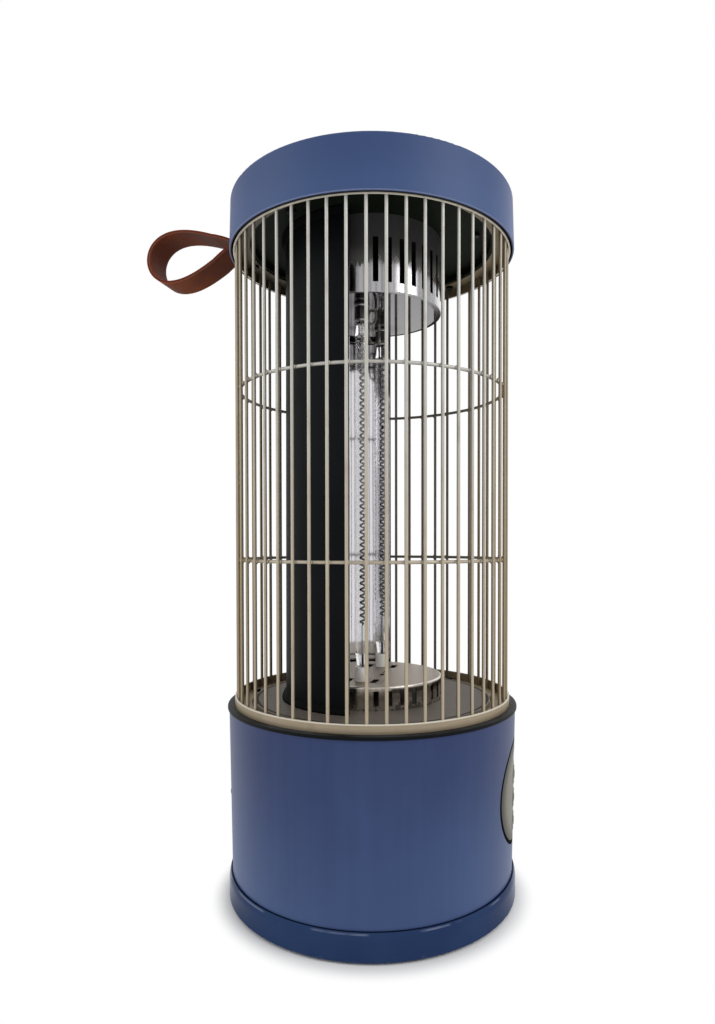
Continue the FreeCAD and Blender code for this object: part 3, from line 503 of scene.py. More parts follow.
def guard_plating(name, low, high, tarnish, shaded_side_colour, grain, edge_height, dull, shade, painted_shade_y):
    """Champagne plating, of colour low at the foot of the guard and high at its top, with drawing lines and
    patchy tarnish; painted shade on the sides that face the lamps, browner on the two flanks, a painted
    highlight along the edge at edge_height, darker in the tarnish colour between the two heights of dull,
    painted shade outside between the two heights of shade, and deeper painted shade on the faces turned to
    the lamps between the two y values of the last argument."""
    f = Finish(name)
    draw = f.noise(1.0, 3.0, grain)
    age = f.noise(45.0, 4.0).rise(0.50, 0.75)
    out = f.facing_out()
    # Painted shade on the wire's sides and on the faces turned towards the lamps.
    painted_shade_inner = out.rise(0.60, -0.15)
    flank = abs(f.y * FLANK_Y - f.x * FLANK_X).rise(0.070, 0.108)
    # Painted highlight along the band's edge.
    painted_edge_highlight = abs(f.z - edge_height).rise(0.0010, 0.0004) * out.rise(-0.4, 0.0)
    base = f.colour(f.z.rise(0.20, 0.46), low, high)
    base = f.colour(draw.rise(0.3, 0.7) * 0.25 + age * 0.25 + f.z.rise(*dull) * 0.45, base, tarnish)
    base = f.colour(painted_shade_inner * 0.9, base, shaded_side_colour)
    base = f.colour(flank * 0.7, base, linear(144, 126, 94))
    # Deeper painted shade on the lamp side of the upper ring, where the shell shades it.
    base = f.colour(f.y.rise(*painted_shade_y) * painted_shade_inner * 0.8, base, linear(58, 54, 44))
    base = f.colour(painted_edge_highlight, base, linear(226, 219, 202))
    return f.surface({
        # Painted shade on the outward faces under the cap.
        "Base Color": f.colour(f.z.rise(*shade) * out.rise(0.2, 0.6) * 0.9, base, linear(46, 44, 46)),
        "Metallic": 0.30 - painted_shade_inner * 0.15,
        "Roughness": draw * 0.14 + age * 0.10 + 0.36,
        "Specular IOR Level": 0.35,
        "Normal": f.bump(draw, 0.00003, 0.3),
    })


def sheet_metal(name, light, dark, metallic, rough, stretch, shine):
    """Rolled sheet: grain along one way, faint drift and a few handling marks."""
    f = Finish(name)
    grain = f.noise(1.0, 3.0, stretch)
    drift = f.noise(14.0, 3.0)
    marks = f.noise(120.0, 4.0).rise(0.62, 0.72)
    return f.surface({
        "Base Color": f.colour((grain * 0.6 + drift * 0.4).rise(0.35, 0.65), dark, light),
        "Metallic": metallic,
        "Roughness": grain * 0.12 + marks * 0.12 + rough,
        "Specular IOR Level": shine,
        "Normal": f.bump(grain, 0.00003, 0.25),
    })


def deck_enamel(name):
    """Warm grey deck: rolled grain and drift, a dark ring of painted shade in the gap within its rim, and a
    painted highlight as a pale line on the rim's own edge."""
    f = Finish(name)
    grain = f.noise(1.0, 3.0, (240.0, 14.0, 240.0))
    drift = f.noise(14.0, 3.0)
    marks = f.noise(120.0, 4.0).rise(0.62, 0.72)
    inset = DECK_R - (f.x ** 2 + f.y ** 2) ** 0.5
    # Painted shade: a dark ring in the gap within the rim.
    rim_shade = inset.rise(0.0008, 0.0014) * inset.rise(0.0040, 0.0026)
    # Painted highlight: a pale line on the rim's edge.
    rim = abs(inset).rise(0.0008, 0.0004)
    mottle = (grain * 0.6 + drift * 0.4).rise(0.35, 0.65)
    base = f.colour(mottle, linear(100, 92, 85), linear(110, 102, 94))
    base = f.colour(rim_shade * 0.85, base, linear(24, 22, 19))
    return f.surface({
        "Base Color": f.colour(rim * 0.7, base, linear(150, 140, 124)),
        "Metallic": 0.1,
        "Roughness": grain * 0.12 + marks * 0.12 + rim_shade * 0.2 + 0.46,
        "Specular IOR Level": 0.15,
        "Normal": f.bump(grain, 0.00003, 0.25),
    })


def lamp_housing(name, wall, face, halo, rim, rim_line_matte, rim_reach, rim_side, face_height, into, painted_dark_depths,
                 painted_dark_tints, rim_shade, face_rough, wall_rough):
    """Heat-stained chrome. The flat face next to the lamps browns round them. The wall is streaked, with, on
    the deck, a ring of painted shade behind its edge. A matt painted dark band covers the wall where its
    depth behind the face, made ragged by noise, passes the two values of the depth range, and deepens from
    the first tint to the second: painted shade at the deck wall's foot, a painted dark reflection on the
    cup's wall. A painted line of colour rim follows the corner of face and wall, from one radius to the other
    and one x to the other: a painted highlight on the deck, a painted dark reflection on the cup. The
    hollow is sooted: it starts a sheet's thickness behind the face, on the way that into points."""
    f = Finish(name)
    left = ((f.x + LAMP_X) ** 2 + f.y ** 2) ** 0.5
    right = ((f.x - LAMP_X) ** 2 + f.y ** 2) ** 0.5
    drift = f.noise(60.0, 3.0)
    polish = f.noise(1.0, 3.0, (380.0, 380.0, 1800.0))
    depth = (f.z - face_height) * into
    radius = (f.x ** 2 + f.y ** 2) ** 0.5
    soot = depth.rise(0.0003, 0.0007) * radius.rise(LAMP_HOUSING_R - 0.0003, LAMP_HOUSING_R - 0.0007)
    flat = depth.rise(0.0010, 0.0002) * radius.rise(LAMP_HOUSING_R - 0.0003, LAMP_HOUSING_R - 0.0016)
    # The corner line is a painted highlight on the deck and a painted dark reflection on the cup.
    corner = depth.rise(0.0009, 0.0004) * radius.rise(*rim_reach) * f.x.rise(*rim_side)
    stain = (left.least(right) + drift * 0.008).rise(0.026, 0.008) * flat
    streak = f.noise(1.0, 3.0, (70.0, 70.0, 9.0)).rise(0.35, 0.65)
    sides = f.colour(streak * 0.4, wall, tuple(0.6 * level for level in wall[:3]) + (1.0,))
    ragged = depth + streak * 0.003 + f.noise(1.0, 3.0, (330.0, 330.0, 6.0)) * 0.024
    # Painted dark band: painted shade at the deck wall's foot and a painted dark reflection on the cup's
    # wall.
    painted_dark = ragged.rise(*painted_dark_depths) * 0.85
    # Painted shade in a band under the deck's top edge.
    under = depth.rise(0.0016, 0.0024) * depth.rise(0.0062, 0.0044) * streak.rise(0.05, 0.4)
    sides = f.colour(under * rim_shade, sides, linear(40, 35, 29))
    sides = f.colour(painted_dark, sides, f.colour(depth.rise(0.025, 0.038), *painted_dark_tints))
    base = f.colour(flat, sides, face)
    base = f.colour(stain * 0.7, base, halo)
    base = f.colour(corner, base, rim)
    dull = soot.most(corner * rim_line_matte).most(painted_dark * (1 - flat))
    return f.surface({
        "Base Color": f.colour(soot, base, linear(14, 14, 14)),
        "Metallic": 1 - dull,
        "Roughness": polish * 0.06 + flat * (face_rough - wall_rough) + dull * 0.6 + wall_rough,
        "Specular IOR Level": 0.1,
        "Normal": f.bump(polish, 0.00002, 0.2),
    })


def mirror_metal(name):
    """Bright reflector sheet with roll lines along its height and a broad ripple."""
    f = Finish(name)
    roll = f.noise(1.0, 3.0, (260.0, 260.0, 3.0))
    ripple = f.noise(1.0, 2.0, (40.0, 40.0, 8.0))
    return f.surface({
        "Base Color": f.colour(roll.rise(0.3, 0.7), linear(214, 212, 216), linear(226, 224, 227)),
        "Metallic": 1.0,
        "Roughness": roll * 0.05 + 0.04,
        "Normal": f.bump(ripple, 0.0003, 0.25),
    })


def quartz_glass(name):
    """Clear fused quartz with a faint drawn ripple."""
    f = Finish(name)
    drawn = f.noise(1.0, 2.0, (160.0, 160.0, 8.0))
    return f.surface({
        "Base Color": (0.985, 0.99, 0.99, 1.0),
        "Roughness": drawn * 0.02,
        "IOR": 1.458,
        "Transmission Weight": 1.0,
        "Normal": f.bump(drawn, 0.00004, 0.2),
    })


def coil_alloy(name, clean):
    """Oxidised resistance wire, near black with a dull brown bloom, painted towards the colour clean and more
    metallic at the upper end as a painted reflection."""
    f = Finish(name)
    bloom = f.noise(420.0, 3.0)
    # Painted reflection: the upper turns are painted light and more metallic.
    metal = f.z.rise(0.245, 0.335)
    burnt = f.colour(bloom.rise(0.4, 0.7), linear(18, 17, 17), linear(44, 38, 34))
    return f.surface({
        "Base Color": f.colour(metal, burnt, clean),
        "Metallic": metal * 0.5 + 0.45,
        "Roughness": bloom * 0.2 + 0.3 - metal * 0.15,
        "Specular IOR Level": 0.2,
        "Normal": f.bump(bloom, 0.00005, 0.4),
    })


def fired_ceramic(name, clean, scorched, specked, rough):
    """Fired ceramic, speckled, scorched in patches."""
    f = Finish(name)
    speck = f.noise(1400.0, 2.0).rise(0.66, 0.74)
    scorch = f.noise(90.0, 3.0).rise(0.55, 0.75)
    base = f.colour(scorch * 0.5, clean, scorched)
    return f.surface({
        "Base Color": f.colour(speck * 0.5, base, specked),
        "Roughness": scorch * 0.15 + rough,
        "Normal": f.bump(f.noise(2200.0, 2.0), 0.00006, 0.4),
    })


def strap_leather(name):
    """Vegetable-tanned strap: pebbled grain, pull-up patches, and a burnished cut edge whose corners carry a
    painted highlight as a pale line. The edge attribute goes from 0 on the faces to 1 on the cut."""
    f = Finish(name)
    edge = f.attribute("edge")
    # corner: a painted highlight, a pale line at the corners of the cut.
    corner = edge * (1 - edge) * 4
    pebble = f.cells(1250.0)
    pores = f.noise(2600.0, 2.0)
    pull = f.noise(38.0, 4.0).rise(0.38, 0.68)
    fibre = f.noise(1.0, 3.0, (300.0, 4000.0, 4000.0))
    body = f.colour(pull, linear(97, 43, 18), linear(126, 64, 32))
    body = f.colour(pebble.rise(0.30, 0.75) * 0.35, body, linear(66, 28, 10))
    cut = f.colour(fibre.rise(0.3, 0.7), linear(92, 38, 22), linear(116, 54, 34))
    base = f.colour(edge, body, cut)
    return f.surface({
        "Base Color": f.colour(corner * 0.55, base, linear(192, 128, 104)),
        "Roughness": pebble * 0.14 + pull * 0.08 + edge * 0.08 + 0.50,
        "Specular IOR Level": 0.08,
        "Normal": f.bump(pores * 0.35 - pebble, 0.00012, 0.45),
    })


def braided_sleeve(name):
    """Glass-fibre braid round a lead: pale strands on darker ones, blackened in patches by the heat."""
    f = Finish(name)
    strand = f.cells(1100.0).rise(0.25, 0.60)
    soot = f.noise(150.0, 3.0).rise(0.42, 0.58)
    base = f.colour(strand, linear(206, 202, 190), linear(124, 119, 109))
    return f.surface({
        "Base Color": f.colour(soot * 0.6, base, linear(34, 32, 29)),
        "Roughness": strand * 0.2 + 0.45,
        "Specular IOR Level": 0.3,
        "Normal": f.bump(1 - strand, 0.0002, 0.5),
    })


def foot_rubber(name):
    """Matt rubber with a fine grain, and dust in patches."""
    f = Finish(name)
    grain = f.noise(1800.0, 3.0)
    dust = f.noise(160.0, 4.0).rise(0.55, 0.75)
    return f.surface({
        "Base Color": f.colour(dust * 0.5, linear(26, 26, 27), linear(70, 69, 66)),
        "Roughness": grain * 0.1 + 0.72,
        "Normal": f.bump(grain, 0.00008, 0.5),
    })


def solder_mask(name):
    """Circuit board: green mask over paler copper tracks on a square grid."""
    f = Finish(name)
    across = (f.x * 1250.0).wave()
    down = (f.z * 1250.0 + f.noise(60.0) * 9.0).wave()
    track = across.most(down).rise(0.86, 0.94)
    return f.surface({
        "Base Color": f.colour(track, linear(20, 70, 44), linear(58, 120, 74)),
        "Roughness": track * 0.1 + 0.32,
        "Normal": f.bump(track, 0.00004, 0.5),
    })


def panel_sheet(name):
    """Champagne control plate, brushed across, with painted shade darkening it towards its rim."""
    f = Finish(name)
    brush = f.noise(1.0, 3.0, (20.0, 1500.0, 1500.0))
    reach = (f.x ** 2 + (f.z - PANEL_Z) ** 2) ** 0.5
    base = f.colour(brush.rise(0.35, 0.65), linear(118, 115, 104), linear(130, 127, 116))
    return f.surface({
        # Painted shade towards the plate's rim.
        "Base Color": f.colour(reach.rise(0.0245, 0.0385) * 0.9, base, linear(42, 40, 34)),
        "Metallic": 0.30,
        "Roughness": brush * 0.12 + 0.38,
        "Specular IOR Level": 0.2,
        "Normal": f.bump(brush, 0.00003, 0.25),
    })


def smoked_lens(name):
    """Smoked window with three pale pilot lamps behind it, a row of dots across its width."""
    f = Finish(name)
    row = f.z - PANEL_Z - LENS_RISE
    dots = [((f.x - PILOT_PITCH * place) ** 2 + row ** 2) ** 0.5 for place in (-1, 0, 1)]
    dot = dots[0].least(dots[1]).least(dots[2]).rise(0.0011, 0.0008)
    haze = f.noise(900.0, 2.0)
    return f.surface({
        "Base Color": f.colour(dot, linear(22, 22, 24), linear(126, 122, 112)),
        "Roughness": haze * 0.06 + 0.08,
        "Specular IOR Level": 0.35,
        "Normal": f.bump(dot, 0.00005, 0.4),
    })


FINISHES = {
    "drum_blue": satin_paint(
        "drum_blue", light=linear(64, 87, 132), dark=linear(35, 50, 95), rough=0.36, painted_light_fade=(0.160, 0.018),
        painted_light_edges=drum_edges),
    "cap_blue": satin_paint(
        "cap_blue", light=linear(62, 85, 130), dark=linear(52, 72, 117), rough=0.46, painted_light_fade=(0.547, 0.512),
        painted_light_edges=cap_edges),
    "foot_blue": moulded_gloss("foot_blue", light=linear(45, 66, 104), dark=linear(39, 57, 95)),
    "trim_black": trim_moulding("trim_black"),
    "deck_grey": deck_enamel("deck_grey"),
    "guard_wire": guard_plating(
        "guard_wire", low=linear(190, 177, 154), high=linear(200, 200, 195), tarnish=linear(146, 132, 110),
        shaded_side_colour=linear(80, 73, 64), grain=(2600.0, 2600.0, 40.0), edge_height=0.0, dull=NOWHERE,
        shade=(0.5140, 0.5150), painted_shade_y=NOWHERE),
    "lower_ring": guard_plating(
        "lower_ring", low=linear(172, 157, 133), high=linear(172, 157, 133), tarnish=linear(122, 107, 86),
        shaded_side_colour=linear(140, 123, 100), grain=(50.0, 50.0, 2600.0), edge_height=LOWER_BAND_TOP,
        dull=(0.1550, 0.1505), shade=NOWHERE, painted_shade_y=NOWHERE),
    "upper_ring": guard_plating(
        "upper_ring", low=linear(170, 158, 136), high=linear(170, 160, 140), tarnish=linear(136, 119, 94),
        shaded_side_colour=linear(116, 101, 74), grain=(50.0, 50.0, 2600.0), edge_height=UPPER_BAND_BOTTOM, dull=NOWHERE,
        shade=(UPPER_BAND_BOTTOM + 0.0006, UPPER_BAND_BOTTOM + 0.0010), painted_shade_y=(0.005, 0.075)),
    "shell_black": black_enamel(
        "shell_black", light=linear(18, 20, 22), dark=linear(13, 15, 17), rough=0.45, shine=0.06),
    "foot_black": black_enamel(
        "foot_black", light=linear(13, 14, 15), dark=linear(10, 11, 12), rough=0.5, shine=0.03),
    "ceiling_black": black_enamel(
        "ceiling_black", light=linear(29, 34, 27), dark=linear(22, 27, 20), rough=0.34, shine=0.015),
    "lamp_deck_chrome": lamp_housing(
        "lamp_deck_chrome", wall=linear(186, 178, 168), face=linear(146, 134, 119), halo=linear(118, 104, 88),
        rim=linear(206, 200, 190), rim_line_matte=0.0, rim_reach=(0.0553, 0.0559), rim_side=EVERYWHERE,
        face_height=LAMP_DECK_TOP, into=-1.0, painted_dark_depths=(0.0288, 0.0302),
        painted_dark_tints=(linear(26, 23, 19), linear(26, 23, 19)), rim_shade=0.8, face_rough=0.34, wall_rough=0.16),
    "lamp_cup_chrome": lamp_housing(
        "lamp_cup_chrome", wall=linear(180, 179, 181), face=linear(124, 122, 124), halo=linear(80, 76, 76),
        rim=linear(14, 12, 12), rim_line_matte=1.0, rim_reach=(0.0528, 0.0533), rim_side=(-0.03, 0.02),
        face_height=LAMP_CUP_BOTTOM, into=1.0, painted_dark_depths=(0.0355, 0.0380),
        painted_dark_tints=(linear(86, 88, 80), linear(9, 10, 7)), rim_shade=0.0, face_rough=0.03, wall_rough=0.14),
    "mirror": mirror_metal("mirror"),
    "quartz": quartz_glass("quartz"),
    # One alloy in two copies: the left coil painted lit, the right one painted shaded.
    "coil_left": coil_alloy("coil_left", clean=linear(150, 147, 146)),
    "coil_right": coil_alloy("coil_right", clean=linear(50, 48, 47)),
    "white_ceramic": fired_ceramic(
        "white_ceramic", clean=linear(246, 245, 240), scorched=linear(222, 210, 192),
        specked=linear(176, 166, 152), rough=0.28),
    "dark_ceramic": fired_ceramic(
        "dark_ceramic", clean=linear(32, 30, 29), scorched=linear(52, 45, 40), specked=linear(74, 66, 58),
        rough=0.22),
    "leather": strap_leather("leather"),
    "rubber": foot_rubber("rubber"),
    "zinc": sheet_metal(
        "zinc", light=linear(176, 176, 174), dark=linear(150, 150, 149), metallic=0.95, rough=0.28,
        stretch=(900.0, 900.0, 900.0), shine=0.5),
    "black_screw": sheet_metal(
        "black_screw", light=linear(24, 25, 25), dark=linear(17, 18, 18), metallic=0.3, rough=0.40,
        stretch=(900.0, 900.0, 900.0), shine=0.12),
    "panel": panel_sheet("panel"),
    "button": sheet_metal(
        "button", light=linear(136, 133, 122), dark=linear(122, 119, 108), metallic=0.40, rough=0.32,
        stretch=(1500.0, 20.0, 1500.0), shine=0.25),
    "sleeve": braided_sleeve("sleeve"),
    "mark_ink": plain_plastic(
        "mark_ink", light=linear(30, 30, 31), dark=linear(22, 22, 23), rough=0.5, shine=0.2),
    "lens": smoked_lens("lens"),
    "board": solder_mask("board"),
    "black_plastic": plain_plastic(
        "black_plastic", light=linear(22, 22, 23), dark=linear(15, 15, 16), rough=0.44, shine=0.12),
    # The bezel is near black and without shine, as painted shade in the gap round the panel.
    "gap_shade_black": plain_plastic(
        "gap_shade_black", light=linear(11, 11, 12), dark=linear(7, 7, 8), rough=0.6, shine=0.01),
    "white_plastic": plain_plastic(
        "white_plastic", light=linear(214, 213, 207), dark=linear(200, 198, 190), rough=0.45, shine=0.4),
}

DRESS = {
    "drum_blue": ["drum_shell"],
    "cap_blue": ["top_cap"],
    "foot_blue": ["base_pan"],
    "trim_black": ["trim_ring"],
    "deck_grey": ["deck_plate"],
    "guard_wire": ["cage_wires", "cage_lower_hoop", "cage_upper_hoop"],
    "lower_ring": ["cage_lower_ring"],
    "upper_ring": ["cage_upper_ring"],
    "shell_black": ["reflector_shell"],
    "foot_black": ["shell_flanges"],
    "ceiling_black": ["ceiling_plate"],
    "lamp_deck_chrome": ["lamp_deck"],
    "lamp_cup_chrome": ["lamp_cup"],
    "mirror": ["reflector_mirror"],
    "quartz": ["quartz_tube_left", "quartz_tube_right"],
    "coil_left": ["heating_coil_left"],
    "coil_right": ["heating_coil_right"],
    "white_ceramic": ["lower_ceramics", "thermal_cutout"],
    "dark_ceramic": ["upper_ceramics"],
    "leather": ["carry_strap", "strap_tail"],
    "rubber": ["rubber_feet"],
    "zinc": ["base_screws", "strap_clamp", "strap_screws", "lower_lamp_bracket", "upper_lamp_bracket",
             "plunger_spring"],
    "black_screw": ["cage_screws", "cap_screws"],
    "panel": ["panel_plate"],
    "button": ["power_button", "heat_button", "timer_button"],
    "lens": ["indicator_lens"],
    "board": ["control_board"],
    "gap_shade_black": ["panel_bezel"],
    "black_plastic": ["board_switches", "cable_gland", "gland_nut", "tip_plunger", "tip_switch"],
    "white_plastic": ["terminal_block"],
}
for finish_name, dressed in DRESS.items():
    for node_name in dressed:
        nodes[node_name].material_slots[0].material = FINISHES[finish_name]


# Carry strap

def strap_path():
    """Centre line of the strap, y along the loop and z up, turned down by the droop about the root.
    With t from 0 to 2 pi: along = reach (1 - cos t) / 2, across = swell sin t sin(t/2)^pinch plus half a
    thickness times cos(t/2), which parts the two strands at the root. Straight tails run into the cap."""
    t = np.linspace(0.0, 2 * np.pi, STRAP_DRAWN_POINTS)
    along = STRAP_REACH * (1 - np.cos(t)) / 2
    across = STRAP_SWELL * np.sin(t) * np.sin(t / 2) ** STRAP_PINCH + STRAP_THICK / 2 * np.cos(t / 2)
    droop = STRAP_DROOP * np.clip(along / STRAP_DROOP_LENGTH, 0.0, 1.0)
    loop = np.stack([np.zeros_like(t), along * np.cos(droop) + across * np.sin(droop),
                     across * np.cos(droop) - along * np.sin(droop)], axis=1)
    high = np.array((0.0, -STRAP_TAIL, STRAP_THICK / 2))
    low = np.array((0.0, -STRAP_TAIL, -STRAP_THICK / 2))
    return even(np.vstack([high, loop, low]), STRAP_ROWS) + np.array(STRAP_ROOT)


def strap_section(round_r, flat_steps, corner_steps):
    """Rounded rectangle of width by thickness as (across the width, through the thickness)."""
    half_width = STRAP_WIDTH / 2 - round_r
    half_thick = STRAP_THICK / 2 - round_r
    turn = np.linspace(0.0, np.pi / 2, corner_steps)
    flat = np.linspace(-half_width, half_width, flat_steps)[1:-1]
    rim = STRAP_THICK / 2
    corner = np.stack([half_width + round_r * np.cos(turn), half_thick + round_r * np.sin(turn)], axis=1)
    top = np.stack([flat[::-1], np.full_like(flat, rim)], axis=1)
    upper = [corner, top, corner[::-1] * (-1, 1)]
    lower = [corner * (-1, -1), top * (-1, -1), corner[::-1] * (1, -1)]
    return np.vstack(upper + lower)


def make_strap():
    """The section carried along the centre line: path + across * x axis + through * normal. The edge value
    rises from 0 on the faces to 1 on the cut sides."""
    path = strap_path()
    section = strap_section(STRAP_ROUND, STRAP_FLAT_STEPS, STRAP_CORNER_STEPS)
    ahead = unit(np.gradient(path, axis=0))
    across = np.array((1.0, 0.0, 0.0))
    through = np.cross(across, ahead)
    points = path[:, None] + section[None, :, :1] * across + section[None, :, 1:] * through[:, None]
    rows, columns = points.shape[:2]
    made = piece("carry_loop", points, quads(rows, columns, ring_columns=True) + ends(rows, columns),
                 FINISHES["leather"])
    from_side = STRAP_WIDTH / 2 - np.abs(section[:, 0])
    edge = np.clip((STRAP_CUT - from_side) / STRAP_CUT_FADE, 0.0, 1.0)
    layer = made.data.attributes.new("edge", "FLOAT", "POINT")
    layer.data.foreach_set("value", np.tile(edge, rows).astype(np.float32))
    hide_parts("carry_strap", "strap_tail")
    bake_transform(made)


# Heating coils

def coil_path(x):
    """Helix x + R cos a, R sin a - set, bottom + pitch a / 2 pi, which lies towards the front of the lamp's
    bore, with straight ends. Gives the points, and the wire's radius at each: the ends are thinner."""
    angle = np.linspace(0.0, 2 * np.pi * COIL_TURNS, COIL_TURNS * COIL_STEPS + 1)
    helix = np.stack([x + COIL_R * np.cos(angle), COIL_R * np.sin(angle) - COIL_SET,
                      COIL_BOTTOM + COIL_PITCH * angle / (2 * np.pi)], axis=1)
    rise = np.array((0.0, 0.0, 1.0)) * np.linspace(0.0, 1.0, COIL_END_POINTS)[:, None]
    end_x = x + COIL_R * COIL_END_SHIFT
    low = np.array((end_x, 0.0, TUBE_BOTTOM + TUBE_END_GAP))
    low = low + rise * (COIL_BOTTOM - TUBE_END_GAP - TUBE_BOTTOM - COIL_END_GAP)
    coil_top = helix[-1, 2]
    high = np.array((end_x, 0.0, coil_top + COIL_END_GAP))
    high = high + rise * (TUBE_TOP - TUBE_END_GAP - coil_top - COIL_END_GAP)
    thin = np.full(COIL_END_POINTS, COIL_END_R)
    return np.vstack([low, helix, high]), np.concatenate([thin, np.full(len(angle), COIL_WIRE_R), thin])


def make_coil(side, x):
    """A round wire wound along the coil's path, in place of the coil's solid."""
    path, radius = coil_path(x)
    made = piece(f"coil_{side}", *tubes([path], radius, COIL_SIDES), FINISHES[f"coil_{side}"])
    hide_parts(f"heating_coil_{side}")
    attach(made, "frame")


# Leads and bands at the upper lamp ends

def bend(start, leave, arrive, end, count=18):
    """Cubic curve from start to end, drawn towards leave and arrive on its way:
    (1-t)^3 start + 3 t (1-t)^2 leave + 3 t^2 (1-t) arrive + t^3 end."""
    t = np.linspace(0.0, 1.0, count)[:, None]
    corners = [np.array(corner) for corner in (start, leave, arrive, end)]
    weights = [(1 - t) ** 3, 3 * t * (1 - t) ** 2, 3 * t ** 2 * (1 - t), t ** 3]
    return sum(weight * corner for weight, corner in zip(weights, corners))


def make_leads(name, x):
    """Sleeved leads that fan out from a lamp's upper end, on the side of the other lamp, dip and rise into
    the cup's face: a round tube along a cubic curve for each."""
    lines = []
    for turn, dip in LEAD_FAN:
        away = np.array((-LEAD_INWARD * np.sign(x), turn, 0.0))
        root = np.array((x, 0.0, 0.0)) + away * LEAD_ROOT_R
        lines.append(bend(
            root + (0, 0, LEAD_ROOT_Z),
            root + away * LEAD_DIP_REACH + (0, 0, dip),
            root + away * LEAD_RISE_REACH + (0, 0, LEAD_RISE_Z),
            root + away * LEAD_END_REACH + (0, 0, LAMP_CUP_BOTTOM + LEAD_SUNK),
        ))
    made = piece(name, *tubes(lines, LEAD_R, LEAD_SIDES), FINISHES["sleeve"])
    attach(made, "frame")


def make_bands(name, x):
    """Crimped steel bands round a lamp end: the section (r, h) swept round the lamp's axis at each height,
    x + r cos a, r sin a, height + h."""
    radius, rise = np.array(BAND_SECTION).T
    turn = np.linspace(0.0, 2 * np.pi, BAND_STEPS, endpoint=False)[:, None]
    grid = (BAND_STEPS, len(BAND_SECTION))
    points, faces = [], []
    for place, height in enumerate(BAND_HEIGHTS):
        ring = [x + radius * np.cos(turn), radius * np.sin(turn), np.broadcast_to(height + rise, grid)]
        points.append(np.stack(ring, axis=-1).reshape(-1, 3))
        faces += quads(*grid, ring_rows=True, ring_columns=True, start=place * grid[0] * grid[1])
    made = piece(name, np.vstack(points), faces, FINISHES["zinc"])
    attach(made, "frame")


# Spot welds of the guard

def make_welds(name, height):
    """Flattened beads where the uprights meet a ring wire: an ellipsoid at each crossing, turned to face the
    axis. Its size varies by the sine of a stride times the bead's number."""
    radius = GUARD_BOTTOM_R + GUARD_FLARE * (height - GUARD_BOTTOM) - WIRE_R
    bead = np.arange(WIRE_COUNT)
    angle = np.radians(-90.0 + 360.0 / WIRE_COUNT * bead)[:, None, None]
    wobble = (1 + WELD_UNEVEN * np.sin(WELD_STRIDE * bead))[:, None, None]
    down = np.linspace(0.0, np.pi, WELD_ROWS)
    around = np.linspace(0.0, 2 * np.pi, WELD_COLUMNS, endpoint=False)
    out = np.outer(np.sin(down), np.cos(around)) * WELD_DEPTH
    side = np.outer(np.sin(down), np.sin(around)) * WELD_WIDTH
    up = np.outer(np.cos(down), np.ones_like(around)) * WELD_HEIGHT
    radial = radius + out * wobble
    points = np.stack([radial * np.cos(angle) - side * np.sin(angle),
                       radial * np.sin(angle) + side * np.cos(angle),
                       up * wobble + height], axis=-1)
    faces = []
    for start in bead * WELD_ROWS * WELD_COLUMNS:
        faces += quads(WELD_ROWS, WELD_COLUMNS, ring_columns=True, start=start)
    made = piece(name, points, faces, FINISHES["guard_wire"])
    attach(made, "frame")


# Marks on the push buttons

def on_button(flat, middle):
    """Points (across, up) laid on a button's face: y = -sqrt(R^2 - x^2), R the drum's radius there."""
    height = middle + flat[:, 1]
    radius = DRUM_BOTTOM_R + DRUM_SLOPE * (height - DRUM_BOTTOM) + BUTTON_PROUD
    return np.stack([flat[:, 0], -np.sqrt(radius ** 2 - flat[:, 0] ** 2), height], axis=1)


def arc(radius, first, last, count=28):
    """Points on a circle from the first angle to the last, in degrees."""
    turn = np.radians(np.linspace(first, last, count))
    return np.stack([radius * np.cos(turn), radius * np.sin(turn)], axis=1)


def stroke(start, end, count=8):
    """Points on a straight line."""
    return np.linspace(start, end, count)


def curl(across):
    """Rising S of one wave, 1.2 mm wide and 5 mm tall."""
    t = np.linspace(0.0, 1.0, 20)
    return np.stack([across + 0.0006 * np.sin(2 * np.pi * t), 0.005 * (t - 0.5)], axis=1)


MARKS = {
    "power": [arc(0.0027, 125.0, 415.0), stroke((0.0, 0.0008), (0.0, 0.0036))],
    "heat": [curl(-0.0022), curl(0.0), curl(0.0022)],
    "timer": [arc(0.0029, 0.0, 360.0), stroke((0.0, 0.0019), (0.0, 0.0)),
              stroke((0.0, 0.0), (0.0015, -0.0008))],
}


def make_mark(key, lines):
    """Raised lines half sunk in a button's face: each a round bead along its line."""
    laid = [on_button(line, BUTTON_HEIGHTS[key]) for line in lines]
    made = piece(f"{key}_mark", *tubes(laid, MARK_BEAD_R, MARK_SIDES), FINISHES["mark_ink"])
    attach(made, f"{key}_key")


make_strap()
for button, mark in MARKS.items():
    make_mark(button, mark)
for side, lamp_x in (("left", -LAMP_X), ("right", LAMP_X)):
    make_coil(side, lamp_x)
    make_leads(f"leads_{side}", lamp_x)
    make_bands(f"bands_{side}", lamp_x)
for level, hoop_height in enumerate(HOOP_HEIGHTS):
    make_welds(f"hoop_welds_{level}", hoop_height)


# Stage, light and camera

def make_world():
    """Even light from all round, and plain white where the backdrop shows."""
    world = bpy.data.worlds.new("studio")
    bpy.context.scene.world = world
    sky = NodeMaker(world, "OutputWorld")
    soft = sky.node("Background", {}, {"Color": SKY_COLOUR, "Strength": SKY_STRENGTH})
    white = sky.node("Background", {}, {"Color": WHITE, "Strength": 1.0})
    sky.show(sky.node("MixShader", {}, {0: sky.backdrop_rays(), 1: soft, 2: white}))


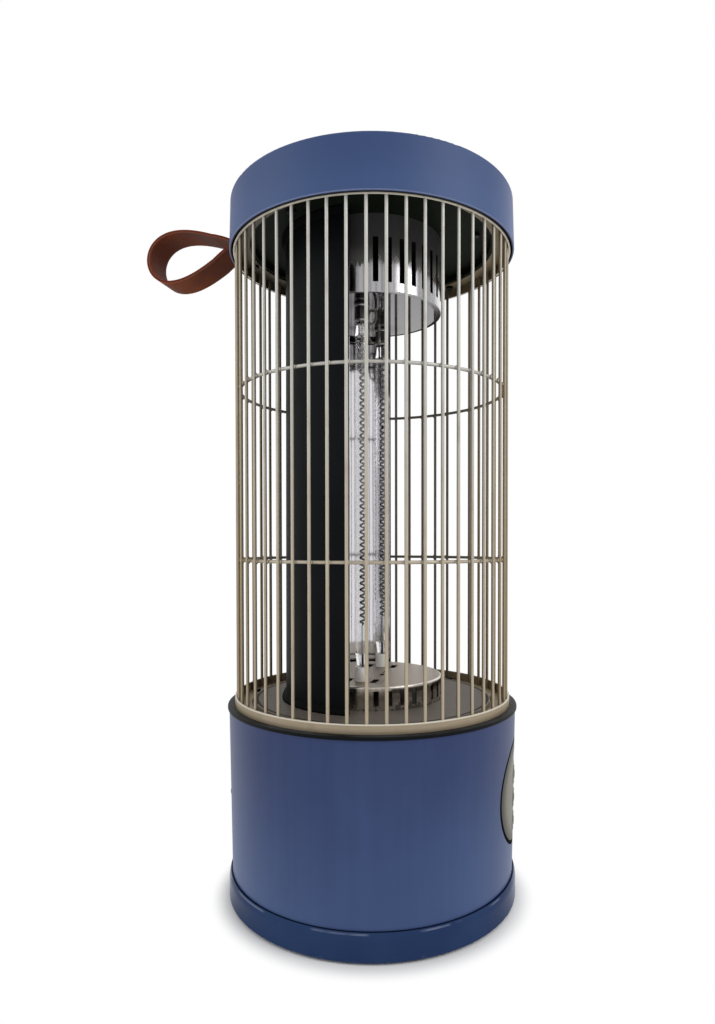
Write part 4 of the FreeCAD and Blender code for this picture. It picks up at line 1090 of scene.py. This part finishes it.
def make_floor():
    """Pale floor that keeps the shadow near the heater, a little more of it on the left front, and fades to
    white away from it."""
    f = Finish("studio_floor")
    distance = ((f.x + SHADOW_LEFT) ** 2 + (f.y + SHADOW_FRONT) ** 2) ** 0.5
    far = distance.rise(*SHADOW_FADE)
    pale = f.node("BsdfDiffuse", {}, {"Color": FLOOR_COLOUR})
    white = f.node("Emission", {}, {"Color": WHITE, "Strength": 1.0})
    f.show(f.node("MixShader", {}, {0: far * f.backdrop_rays(), 1: pale, 2: white}))
    corners = np.array([(-1, -1, 0), (1, -1, 0), (1, 1, 0), (-1, 1, 0)]) * FLOOR_REACH
    floor = piece("floor", corners, [[0, 1, 2, 3]], f.material, smooth=False)


def make_softbox(name, place, size, power):
    """Large soft lamp, turned to the heater's middle."""
    light = bpy.data.lights.new(name, "AREA")
    light.shape = "RECTANGLE"
    light.size, light.size_y = size
    light.energy = power
    made = bpy.data.objects.new(name, light)
    bpy.context.scene.collection.objects.link(made)
    made.location = place
    made.rotation_mode = "QUATERNION"
    made.rotation_quaternion = (LIGHT_AIM - Vector(place)).to_track_quat("-Z", "Y")
    made.visible_camera = False


def make_camera():
    """Pinhole fitted to the object's ellipses: level, on the left front, over half a metre from the axis."""
    eye = Vector((CAMERA_DISTANCE * math.sin(CAMERA_AZIMUTH), -CAMERA_DISTANCE * math.cos(CAMERA_AZIMUTH),
                  CAMERA_HEIGHT))
    ahead = Vector((-eye.x, -eye.y, 0.0)).normalized()
    data = bpy.data.cameras.new("camera")
    data.sensor_width = CAMERA_SENSOR
    data.lens = CAMERA_LENS
    data.shift_x, data.shift_y = CAMERA_SHIFT
    data.clip_start = CAMERA_CLIP
    made = bpy.data.objects.new("camera", data)
    bpy.context.scene.collection.objects.link(made)
    turn = ahead.to_track_quat("-Z", "Y").to_matrix().to_4x4()
    roll = Matrix.Rotation(CAMERA_ROLL, 4, "Z")
    made.matrix_world = Matrix.Translation(eye) @ turn @ roll
    bpy.context.scene.camera = made


make_world()
make_floor()
for box_name, softbox in SOFTBOXES.items():
    make_softbox(box_name, *softbox)
make_camera()
bpy.context.scene.view_settings.view_transform = "Standard"
